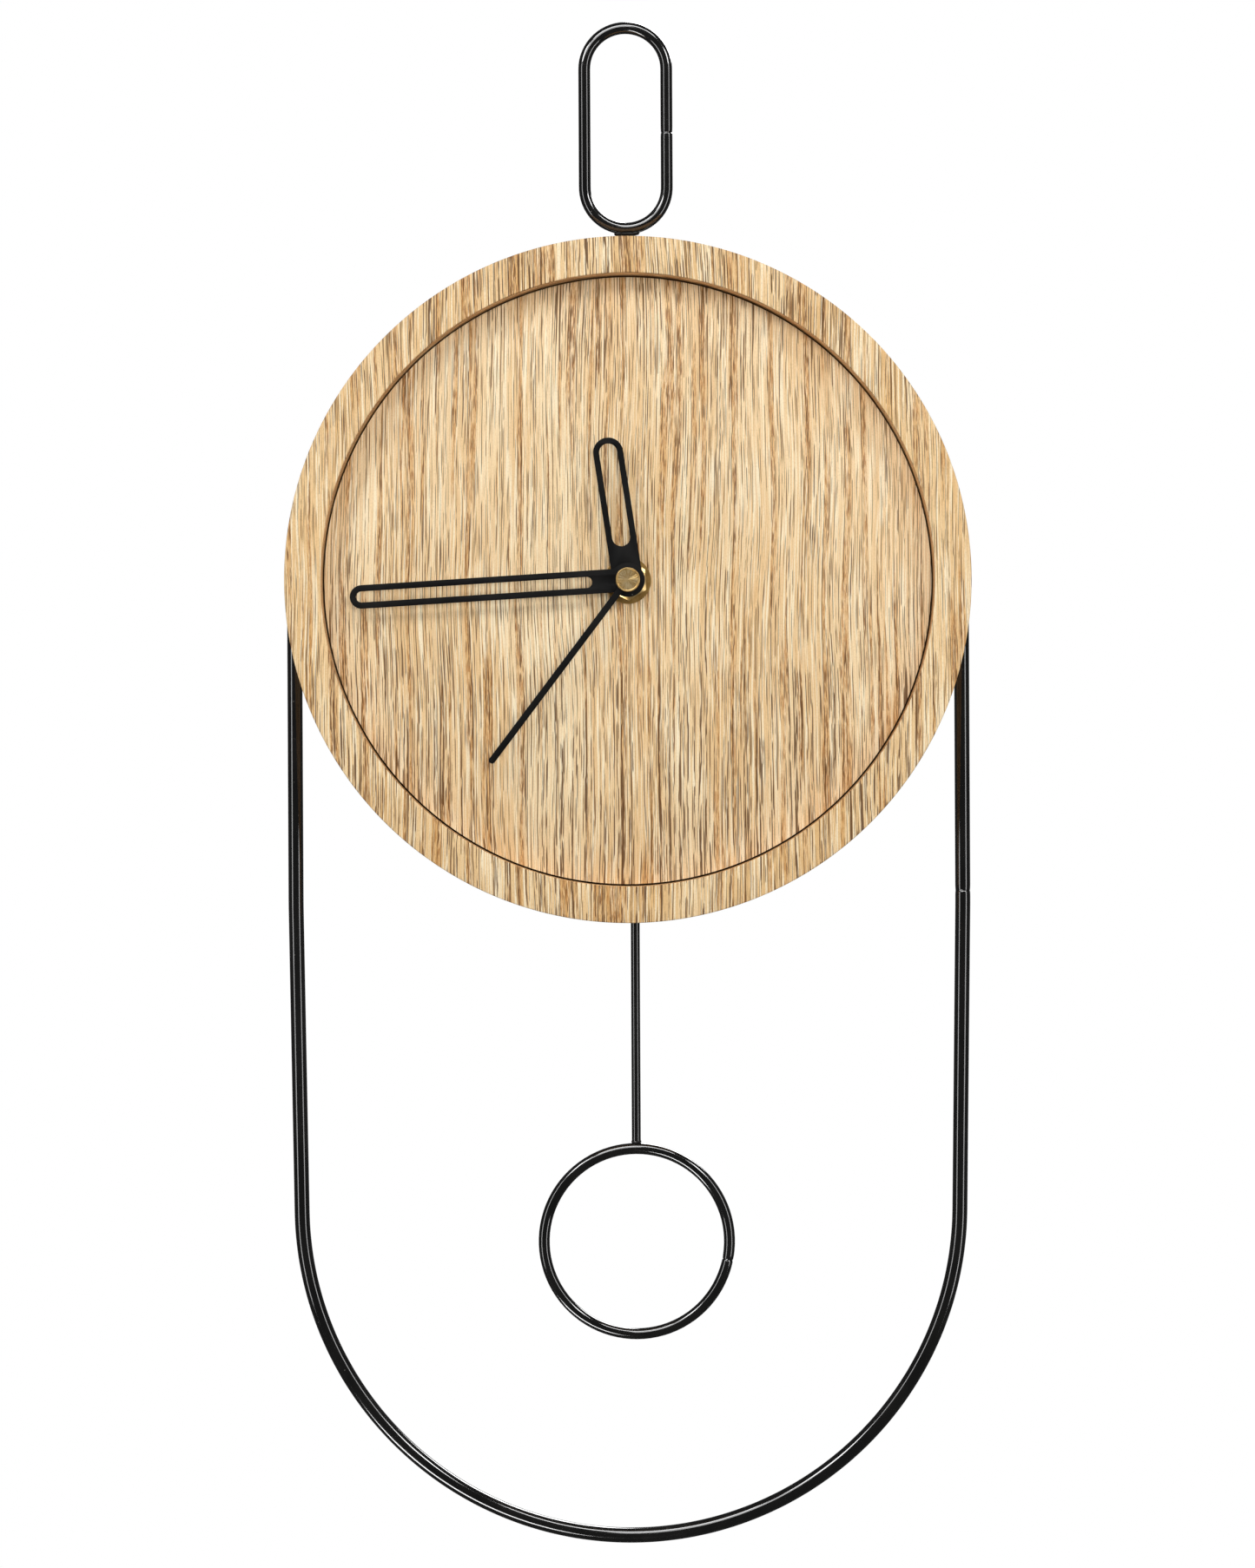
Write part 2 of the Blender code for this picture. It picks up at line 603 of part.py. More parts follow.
def build_case(plastic):
    """Front shell of the movement: floor, walls, three bays, screw bosses, arm slot."""
    outline = rounded_rectangle(-CASE_HALF_WIDTH, CASE_HALF_WIDTH, SHAFT_Z + CASE_BOTTOM,
                                SHAFT_Z + CASE_TOP, 0.002)
    bays = [corner_notched(0.0275, SHAFT_Z - 0.0179, SHAFT_Z + 0.0205, True, False),
            rectangle(-0.0275, 0.0275, SHAFT_Z - 0.0348, SHAFT_Z - 0.0192),
            corner_notched(0.0275, SHAFT_Z - 0.0585, SHAFT_Z - 0.0361, False, True)]
    bush_hole = circle(BUSH_HOLE)
    sockets = [circle(SOCKET, x, z, 12) for x, z in SOCKETS]
    sockets.append(circle(SOCKET, MINUTE_WHEEL_X, MINUTE_WHEEL_Z, 12))
    sockets.append(circle(0.0011, PENDULUM_X, PIVOT_Z, 12))
    screws = [circle(0.0012, x, z, 12) for x, z in CASE_SCREWS]
    depths = (CASE_FRONT_Y, CASE_FLOOR_Y - SOCKET_DEPTH, CASE_FLOOR_Y, -0.0125, CASE_RIM_Y)
    layers = [[outline, bush_hole], [outline, bush_hole] + sockets, [outline] + bays,
              [outline] + bays + screws]
    case = add_object("movement_case", stacked("movement_case", depths, layers), plastic)
    slot = rectangle(PENDULUM_X - 0.0064, PENDULUM_X + 0.0064, SHAFT_Z + CASE_BOTTOM - 0.002,
                     SHAFT_Z - 0.0575)
    cut(case, stacked("arm_slot", (-0.0140, -0.004), [[slot]]), "cutter_arm_slot")


def build_cover(plastic, zinc):
    """Rear cover with the battery window, the knob hole and its four screws."""
    outline = rounded_rectangle(-CASE_HALF_WIDTH, CASE_HALF_WIDTH, SHAFT_Z + CASE_BOTTOM,
                                SHAFT_Z + CASE_TOP, 0.002)
    window = rectangle(-0.0270, 0.0270, SHAFT_Z - 0.0346, SHAFT_Z - 0.0194)
    knob_hole = circle(0.0009, MINUTE_WHEEL_X, MINUTE_WHEEL_Z, 12)
    screw_holes = [circle(0.0013, x, z, 12) for x, z in CASE_SCREWS]
    sockets = [circle(SOCKET, x, z, 12) for x, z in SOCKETS + [(0.0, SHAFT_Z)]]
    sockets.append(circle(0.0011, PENDULUM_X, PIVOT_Z, 12))
    through = [outline, window, knob_hole] + screw_holes
    depths = (COVER_FRONT_Y, COVER_FRONT_Y + SOCKET_DEPTH, COVER_BACK_Y)
    mesh = stacked("movement_rear_cover", depths, [through + sockets, through])
    add_object("movement_rear_cover", mesh, plastic)
    seat = COVER_BACK_Y + GAP
    for i, (x, z) in enumerate(CASE_SCREWS):
        profile = [(0, COVER_SCREW_END_Y), (COVER_SCREW_SHANK, COVER_SCREW_END_Y + 0.0008),
                   (COVER_SCREW_SHANK, seat), (COVER_SCREW_HEAD, seat),
                   (COVER_SCREW_HEAD, seat + 0.0005), (COVER_SCREW_HEAD - 0.0006, seat + 0.0011),
                   (0, seat + COVER_SCREW_HEAD_HEIGHT)]
        name = f"cover_screw_{i + 1}"
        add_object(name, lathed(name, profile, x, z, 12), zinc)


def wheel(name, x, z, parts, bore=None):
    """A moulded wheel: gear and shaft outlines stacked along its arbor.

    parts are (start depth, outline) pairs in order, and the last entry is the end depth.
    """
    depths = [part[0] for part in parts[:-1]] + [parts[-1]]
    layers = [[part[1]] for part in parts[:-1]]
    if bore:
        hole = circle(bore, x, z, 16)
        layers = [layer + [hole] for layer in layers]
    return stacked(name, depths, layers)


def build_seconds_side(white, black, magnet, pivots):
    """Rotor, intermediate, seconds and third wheels, and the centre wheel."""
    sx, sz = 0.0, SHAFT_Z
    seconds_phase, third_pinion_phase, fast_phase = 0.0, 0.0, 0.0
    third_phase = meshed_phase(8, 0.0, 60, THIRD_DIRECTION)
    centre_phase = meshed_phase(8, third_pinion_phase, 64, THIRD_DIRECTION + math.pi)
    small_phase = meshed_phase(48, seconds_phase, 8, INTERMEDIATE_DIRECTION)
    rotor_phase = meshed_phase(40, fast_phase, 8, ROTOR_DIRECTION)
    front_end, back_end = CASE_FLOOR_Y - 0.0002, COVER_FRONT_Y + 0.0002

    shaft = circle(ARBOR, sx, sz, 12)
    mesh = wheel("seconds_wheel", sx, sz, [
        (-0.0325, shaft), (-0.0139, gear_outline(8, FINE, seconds_phase)),
        (-0.0126, gear_outline(48, SECONDS_MODULE, seconds_phase)), (-0.0117, shaft_copy(shaft)),
        back_end])
    add_object("seconds_wheel", mesh, white, pivots["second"])

    x, z = THIRD_X, THIRD_Z
    shaft = circle(ARBOR, x, z, 12)
    mesh = wheel("third_wheel", x, z, [
        (front_end, shaft), (-0.0153, gear_outline(8, CENTRE_MODULE, third_pinion_phase, x, z)),
        (-0.0139, gear_outline(60, FINE, third_phase, x, z)), (-0.0130, shaft_copy(shaft)),
        back_end])
    add_object("third_wheel", mesh, white, pivots["third"])

    mesh = wheel("centre_wheel", sx, sz, [
        (-0.0152, gear_outline(64, CENTRE_MODULE, centre_phase)), -0.0143], bore=0.0019)
    add_object("centre_wheel", mesh, white, pivots["centre"])

    x, z = INTERMEDIATE_X, INTERMEDIATE_Z
    shaft = circle(ARBOR, x, z, 12)
    mesh = wheel("intermediate_wheel", x, z, [
        (front_end, shaft), (-0.0127, gear_outline(8, SECONDS_MODULE, small_phase, x, z)),
        (-0.0113, gear_outline(40, FINE, fast_phase, x, z)), (-0.0104, shaft_copy(shaft)),
        back_end])
    add_object("intermediate_wheel", mesh, white, pivots["intermediate"])

    x, z = ROTOR_X, ROTOR_Z
    shaft = circle(ARBOR, x, z, 12)
    mesh = wheel("rotor_pinion", x, z, [
        (front_end, shaft), (-0.0114, gear_outline(8, FINE, rotor_phase, x, z)),
        (-0.0102, shaft_copy(shaft)), back_end])
    add_object("rotor_pinion", mesh, white, pivots["rotor"])
    ring = stacked("rotor_magnet", (-0.0099, -0.0081), [[circle(0.0025, x, z, 20),
                                                        circle(0.0008, x, z, 12)]])
    add_object("rotor_magnet", ring, magnet, pivots["rotor"])


def shaft_copy(outline):
    """The same outline again, as a layer of its own past a wheel."""
    return list(outline)


def build_motion_work(white, black, pivots):
    """Minute pipe, minute wheel and hour wheel, and the setting knob."""
    pipe = circle(0.0016, steps=16)
    minute_phase = meshed_phase(12, 0.0, 36, MINUTE_WHEEL_DIRECTION)
    hour_phase = meshed_phase(10, 0.0, 40, MINUTE_WHEEL_DIRECTION + math.pi)
    mesh = wheel("minute_pipe", 0.0, SHAFT_Z, [
        (-0.0315, pipe), (-0.0166, gear_outline(12, MOTION_MODULE)), (-0.0156, shaft_copy(pipe)),
        -0.0141], bore=0.00095)
    add_object("minute_pipe", mesh, black, pivots["minute"])

    x, z = MINUTE_WHEEL_X, MINUTE_WHEEL_Z
    shaft = circle(ARBOR, x, z, 12)
    mesh = wheel("minute_wheel", x, z, [
        (CASE_FLOOR_Y - 0.0002, shaft), (-0.0180, gear_outline(10, HOUR_MODULE, 0.0, x, z)),
        (-0.0166, gear_outline(36, MOTION_MODULE, minute_phase, x, z)),
        (-0.0156, shaft_copy(shaft)), -0.0026])
    add_object("minute_wheel", mesh, white, pivots["minute_wheel"])

    hour_pipe = circle(0.0025, steps=20)
    mesh = wheel("hour_wheel", 0.0, SHAFT_Z, [
        (-0.0303, hour_pipe), (-0.0180, gear_outline(40, HOUR_MODULE, hour_phase)), -0.0170],
        bore=0.0019)
    add_object("hour_wheel", mesh, white, pivots["hour"])

    grip = []
    for i in range(24):
        t = math.pi * i / 12
        radius = KNOB_RADIUS * (1 - KNOB_FLUTE * (i % 2))
        grip.append((x + radius * math.cos(t), z + radius * math.sin(t)))
    socket = circle(SOCKET, x, z, 12)
    depths = (KNOB_FRONT_Y, KNOB_FRONT_Y + 0.0009, KNOB_BACK_Y)
    knob = stacked("setting_knob", depths, [[grip, socket], [grip]])
    add_object("setting_knob", knob, black, pivots["minute_wheel"])


def build_motor(iron, copper, plastic, board, crystal, black):
    """Stator, coil and circuit board of the stepping motor."""
    head = [(ROTOR_X - 0.0046, SHAFT_Z + 0.0098), (0.0212, SHAFT_Z + 0.0098),
            (0.0212, SHAFT_Z + 0.0175), (0.0180, SHAFT_Z + 0.0175), (0.0180, SHAFT_Z + 0.0122),
            (-0.0072, SHAFT_Z + 0.0122), (-0.0072, SHAFT_Z + 0.0190),
            (ROTOR_X - 0.0046, SHAFT_Z + 0.0190)]
    layer = [head, circle(0.0031, ROTOR_X, ROTOR_Z, 20)]
    add_object("stator_plate", stacked("stator_plate", (-0.0094, -0.0086), [layer]), iron)
    coil_z = SHAFT_Z + 0.0160
    core = stacked("coil_core", (-0.0094, -0.0086),
                   [[rectangle(-0.0069, 0.0177, coil_z - 0.0011, coil_z + 0.0011)]])
    add_object("motor_coil_core", core, iron)
    y = -0.0090
    bobbin = [(0.0015, -0.0045), (0.0032, -0.0045), (0.0032, -0.0039), (0.0020, -0.0039),
              (0.0020, 0.0147), (0.0032, 0.0147), (0.0032, 0.0153), (0.0015, 0.0153)]
    mesh = lathed("motor_coil_bobbin", bobbin, y, coil_z, 16, "X")
    add_object("motor_coil_bobbin", mesh, plastic)
    winding = [(0.0023, -0.0036), (0.0030, -0.0036), (0.0030, 0.0144), (0.0023, 0.0144)]
    mesh = lathed("motor_coil_winding", winding, y, coil_z, 20, "X")
    add_object("motor_coil_winding", mesh, copper)

    outline = rectangle(0.0035, 0.0265, SHAFT_Z - 0.0165, SHAFT_Z + 0.0062)
    add_object("circuit_board", stacked("circuit_board", (-0.0076, -0.0068), [[outline]]), board)
    blob = circle(0.0028, 0.0120, SHAFT_Z - 0.0080, 16)
    chip = stacked("clock_chip", (-0.0065, -0.0056), [[blob]])
    add_object("clock_chip", chip, black)
    can = stacked("quartz_crystal", (-0.0101, -0.0079),
                  [[rounded_rectangle(0.0190, 0.0250, SHAFT_Z - 0.0130, SHAFT_Z - 0.0109, 0.0009)]])
    add_object("quartz_crystal", can, crystal)


def build_battery(cell, nickel):
    """AA cell and its two leaf contacts."""
    cell_y, cell_z = -0.01085, SHAFT_Z - 0.027
    profile = [(0, -0.02525), (0.0060, -0.02525), (0.0068, -0.0248), (0.00725, -0.0245),
               (0.00725, 0.0236), (0.0068, 0.0240), (0.00275, 0.0240), (0.00275, 0.02525),
               (0, 0.02525)]
    add_object("battery_cell", lathed("battery_cell", profile, cell_y, cell_z, 24, "X"), cell)
    for side, name in ((1, "battery_contact_positive"), (-1, "battery_contact_negative")):
        line = [(side * 0.0269, cell_z - 0.0065), (side * 0.0269, cell_z - 0.0040),
                (side * 0.0258, cell_z), (side * 0.0269, cell_z + 0.0040),
                (side * 0.0269, cell_z + 0.0065)]
        mesh = stacked(name, (cell_y - 0.0045, cell_y + 0.0045), [[strip_outline(line, 0.0004)]])
        add_object(name, mesh, nickel)


# ---------------------------------------------------------------- pendulum

def build_pendulum(steel, plastic, magnet, copper, pin_steel, pivot):
    """Swing arm with its magnet, the hooked rod, the ring, the pin and the drive coil."""
    x = PENDULUM_X
    arm_y = PENDULUM_Y - HOOK_RADIUS
    front, back = arm_y - 0.0010, arm_y + 0.0010
    magnet_z = SHAFT_Z - 0.0505
    hole_z = SHAFT_Z - HOOK_DROP + HOOK_RADIUS
    outline = arm_outline(x, magnet_z, hole_z - 0.0045)
    layer = [outline, circle(0.00105, x, PIVOT_Z, 16), circle(0.0033, x, magnet_z, 20),
             circle(0.0026, x, hole_z, 16)]
    add_object("pendulum_arm", stacked("pendulum_arm", (front, back), [layer]), plastic, pivot)
    disc = stacked("pendulum_magnet", (front - 0.0002, back + 0.0002),
                   [[circle(0.0030, x, magnet_z, 20)]])
    add_object("pendulum_magnet", disc, magnet, pivot)
    pin = stacked("pivot_pin", (CASE_FLOOR_Y - 0.0002, COVER_FRONT_Y + 0.0002),
                  [[circle(0.00075, x, PIVOT_Z, 12)]])
    add_object("pendulum_pivot_pin", pin, pin_steel)
    coil = stacked("pendulum_coil", (-0.0178, -0.0148),
                   [[circle(0.0065, x, magnet_z, 24), circle(0.0025, x, magnet_z, 16)]])
    add_object("pendulum_coil", coil, copper)

    hook_z = SHAFT_Z - HOOK_DROP
    points = [(x, PENDULUM_Y - 2 * HOOK_RADIUS, hook_z - 0.0035)]
    for i in range(13):
        t = math.pi - math.pi * i / 12
        points.append((x, arm_y + HOOK_RADIUS * math.cos(t), hook_z + HOOK_RADIUS * math.sin(t)))
    points.append((x, PENDULUM_Y, RING_Z + RING_RADIUS + RING_ROD + GAP))
    rod("pendulum_rod", points, PENDULUM_ROD, steel, resolution=3, parent=pivot)
    ring = arc(RING_RADIUS, 0, 360, x, RING_Z, PENDULUM_Y, 48)[:-1]
    rod("pendulum_ring", ring, RING_ROD, steel, cyclic=True, resolution=3, parent=pivot)


def arm_outline(x, magnet_z, bottom_z):
    """Outline of the swing arm: hub, round pad for the magnet, straight tongue."""
    half = 0.0030
    outline = []
    hub_start = math.asin(0.8)
    for i in range(9):
        t = -hub_start + (math.pi + 2 * hub_start) * i / 8
        outline.append((x + 0.0038 * math.cos(t), PIVOT_Z + 0.0038 * math.sin(t)))
    pad = 0.0050
    lean = math.asin(half / pad)
    for start in (math.pi / 2 + lean, 3 * math.pi / 2 + lean):
        if start > math.pi:
            for px in (-half, -half * 0.6, half * 0.6, half):
                drop = 0.0 if abs(px) == half else -0.0012
                outline.append((x + px, bottom_z + drop))
        sweep = math.pi - 2 * lean
        for i in range(7):
            t = start + sweep * i / 6
            outline.append((x + pad * math.cos(t), magnet_z + pad * math.sin(t)))
    return outline


# ---------------------------------------------------------------- the clock

def main():
    clear_scene()
    steel = make_material("black_powder_coat", (0.012, 0.012, 0.013), 0.38)
    oak = make_material("oak_veneer", (0.66, 0.43, 0.22), 0.55)
    dial_oak = make_material("dial_oak_veneer", (0.70, 0.45, 0.23), 0.55)
    black = make_material("matte_black_hand", (0.010, 0.010, 0.010), 0.6)
    brass = make_material("brass", (0.72, 0.50, 0.22), 0.28, 1.0)
    rubber = make_material("black_rubber", (0.02, 0.02, 0.02), 0.8)
    case_black = make_material("black_case_plastic", (0.02, 0.02, 0.022), 0.5)
    white = make_material("white_acetal", (0.80, 0.79, 0.74), 0.4)
    knob_black = make_material("black_knob_plastic", (0.015, 0.015, 0.015), 0.45)
    zinc = make_material("zinc_plated_steel", (0.62, 0.62, 0.60), 0.35, 1.0)
    iron = make_material("soft_iron", (0.45, 0.44, 0.42), 0.45, 1.0)
    copper = make_material("enamelled_copper", (0.62, 0.22, 0.08), 0.35, 1.0)
    board = make_material("circuit_board_resin", (0.25, 0.16, 0.06), 0.5)
    magnet = make_material("ferrite_magnet", (0.10, 0.10, 0.11), 0.5, 0.6)
    cell = make_material("battery_sleeve", (0.05, 0.16, 0.24), 0.35)
    nickel = make_material("nickel_plate", (0.66, 0.63, 0.57), 0.25, 1.0)

    pivots = {"hour": add_pivot("hour_axis", 0, SHAFT_Z),
              "minute": add_pivot("minute_axis", 0, SHAFT_Z),
              "second": add_pivot("second_axis", 0, SHAFT_Z),
              "centre": add_pivot("centre_axis", 0, SHAFT_Z),
              "third": add_pivot("third_axis", THIRD_X, THIRD_Z),
              "intermediate": add_pivot("intermediate_axis", INTERMEDIATE_X, INTERMEDIATE_Z),
              "rotor": add_pivot("rotor_axis", ROTOR_X, ROTOR_Z),
              "minute_wheel": add_pivot("minute_wheel_axis", MINUTE_WHEEL_X, MINUTE_WHEEL_Z)}
    pendulum_axis = add_pivot("pendulum_axis", PENDULUM_X, PIVOT_Z)

    build_frame(steel)
    build_tabs(steel, zinc)
    build_ring(oak)
    build_dial(dial_oak)
    build_fixings(brass, rubber)
    build_hands(black, brass, pivots)
    build_case(case_black)
    build_cover(case_black, zinc)
    build_seconds_side(white, black, magnet, pivots)
    build_motion_work(white, knob_black, pivots)
    build_motor(iron, copper, white, board, nickel, black)
    build_battery(cell, nickel)
    build_pendulum(steel, white, magnet, copper, zinc, pendulum_axis)


main()
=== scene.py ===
import json
import random
from math import acos, asin, atan2, ceil, cos, degrees, exp, hypot, pi, radians, sin, tan

import bmesh
import bpy
from mathutils import Matrix, Vector, noise


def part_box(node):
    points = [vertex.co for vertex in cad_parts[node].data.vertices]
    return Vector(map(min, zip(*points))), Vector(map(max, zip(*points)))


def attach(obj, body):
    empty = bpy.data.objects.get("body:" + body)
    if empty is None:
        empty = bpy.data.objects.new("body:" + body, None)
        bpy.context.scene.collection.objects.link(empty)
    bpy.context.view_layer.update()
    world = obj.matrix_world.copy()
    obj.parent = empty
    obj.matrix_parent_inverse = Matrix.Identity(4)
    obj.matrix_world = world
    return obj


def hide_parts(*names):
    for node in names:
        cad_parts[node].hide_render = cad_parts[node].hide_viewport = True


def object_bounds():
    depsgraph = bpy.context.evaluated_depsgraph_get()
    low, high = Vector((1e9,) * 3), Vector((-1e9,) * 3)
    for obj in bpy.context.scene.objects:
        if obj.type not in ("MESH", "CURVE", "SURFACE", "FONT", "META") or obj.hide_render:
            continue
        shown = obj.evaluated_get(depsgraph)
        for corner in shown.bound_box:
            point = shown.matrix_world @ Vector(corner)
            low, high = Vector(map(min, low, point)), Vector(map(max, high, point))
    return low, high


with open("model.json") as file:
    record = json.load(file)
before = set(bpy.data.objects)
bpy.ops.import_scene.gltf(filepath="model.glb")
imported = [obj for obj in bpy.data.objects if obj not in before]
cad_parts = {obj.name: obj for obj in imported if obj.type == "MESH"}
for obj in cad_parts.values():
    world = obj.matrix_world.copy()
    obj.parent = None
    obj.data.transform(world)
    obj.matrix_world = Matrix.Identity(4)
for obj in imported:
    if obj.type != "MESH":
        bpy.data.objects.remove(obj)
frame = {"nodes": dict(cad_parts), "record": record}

MM = 0.001
SEAM_REACH = 2.2 * MM  # how far a butt weld's traces run along a bar
SEAM_STEP = 0.12 * MM  # how finely the bar is divided there
SHARP = 34.0  # degrees between faces from which an edge stays crisp
Y_AXIS = Vector((0, 1, 0))
BODY = "clock_body"
cad_low, cad_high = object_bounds()


def middle(node):
    """Centre of a CAD node's box."""
    low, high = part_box(node)
    return (low + high) / 2


SHAFT = middle("dial_plate")
SHAFT_Z = SHAFT.z


# ---- shader building

def srgb(red, green, blue):
    """A colour given as 0 to 255 screen values, as the linear values a shader takes."""
    linear = []
    for value in (red, green, blue):
        value /= 255
        linear.append(value / 12.92 if value <= 0.04045 else ((value + 0.055) / 1.055) ** 2.4)
    return (*linear, 1.0)


def lighter(tone, lift):
    return tuple(min(255, value + lift) for value in tone)


class Graph:
    """A Principled material and short names for the nodes that feed it."""

    def __init__(self, name, **constants):
        self.material = bpy.data.materials.new(name)
        self.material.use_nodes = True
        self.tree = self.material.node_tree
        self.tree.nodes.clear()
        self.surface = self.add("BsdfPrincipled")
        for key, value in constants.items():
            self.surface.inputs[key.replace("_", " ")].default_value = value
        output = self.add("OutputMaterial")
        self.tree.links.new(self.surface.outputs[0], output.inputs["Surface"])
        self.place = self.add("TexCoord").outputs["Object"]

    def add(self, kind, inputs=None, **settings):
        node = self.tree.nodes.new("ShaderNode" + kind)
        for key, value in settings.items():
            setattr(node, key, value)
        for key, value in (inputs or {}).items():
            self.feed(node.inputs[key], value)
        return node

    def feed(self, socket, value):
        if isinstance(value, bpy.types.NodeSocket):
            self.tree.links.new(value, socket)
        else:
            socket.default_value = value

    def maths(self, operation, *values, clamp=False):
        node = self.add("Math", operation=operation, use_clamp=clamp)
        for i, value in enumerate(values):
            self.feed(node.inputs[i], value)
        return node.outputs[0]

    def times(self, first, second):
        return self.maths("MULTIPLY", first, second)

    def split(self, vector):
        return self.add("SeparateXYZ", {"Vector": vector}).outputs

    def join(self, x, y, z):
        return self.add("CombineXYZ", {"X": x, "Y": y, "Z": z}).outputs[0]

    def scaled(self, vector, scale, shift=(0, 0, 0)):
        return self.add("Mapping", {"Vector": vector, "Scale": scale, "Location": shift}).outputs[0]

    def noise(self, vector, detail=2.0, rough=0.5, flat=False):
        settings = {"Vector": vector, "Scale": 1.0, "Detail": detail, "Roughness": rough}
        node = self.add("TexNoise", settings, noise_dimensions="2D" if flat else "3D")
        return node.outputs["Fac"]

    def grit(self, scale, detail, rough):
        """Noise in the object's own space, with one scale or one per axis."""
        scale = scale if isinstance(scale, tuple) else (scale, scale, scale)
        return self.noise(self.scaled(self.place, scale), detail, rough)

    def cells(self, vector, flat=False):
        node = self.add("TexVoronoi", {"Vector": vector, "Scale": 1.0},
                        voronoi_dimensions="2D" if flat else "3D")
        return node.outputs["Distance"], self.split(node.outputs["Color"])[0]

    def fit(self, value, low, high, to_low=0.0, to_high=1.0, kind="LINEAR"):
        inputs = {"Value": value, "From Min": low, "From Max": high,
                "To Min": to_low, "To Max": to_high}
        return self.add("MapRange", inputs, interpolation_type=kind).outputs["Result"]

    def mix(self, factor, first, second, blend="MIX"):
        """Mixes colours, each a socket or three screen values."""
        node = self.add("Mix", data_type="RGBA", blend_type=blend)
        for index, value in ((0, factor), (6, first), (7, second)):
            self.feed(node.inputs[index], srgb(*value) if isinstance(value, tuple) else value)
        return node.outputs[2]

    def blend(self, field, low, high, first, second):
        """From one colour to another where a field rises from low to high."""
        return self.mix(self.fit(field, low, high), first, second)

    def tint(self, shade, field, low, high, amount, colour):
        """Lays a colour over a shade where a field rises from low to high."""
        return self.mix(self.fit(field, low, high, 0.0, amount), shade, colour)

    def colour(self, value):
        self.feed(self.surface.inputs["Base Color"], value)

    def rough(self, value):
        self.feed(self.surface.inputs["Roughness"], value)

    def bump(self, height, depth, strength):
        node = self.add("Bump", {"Height": height, "Strength": strength, "Distance": depth})
        self.feed(self.surface.inputs["Normal"], node.outputs["Normal"])

    def done(self, field, smooth, dull, height, depth, strength):
        """Roughness that follows a field, relief from a height, depth in mm. The material."""
        self.rough(self.fit(field, 0.3, 0.7, smooth, dull))
        self.bump(height, depth * MM, strength)
        return self.material


# ---- wood

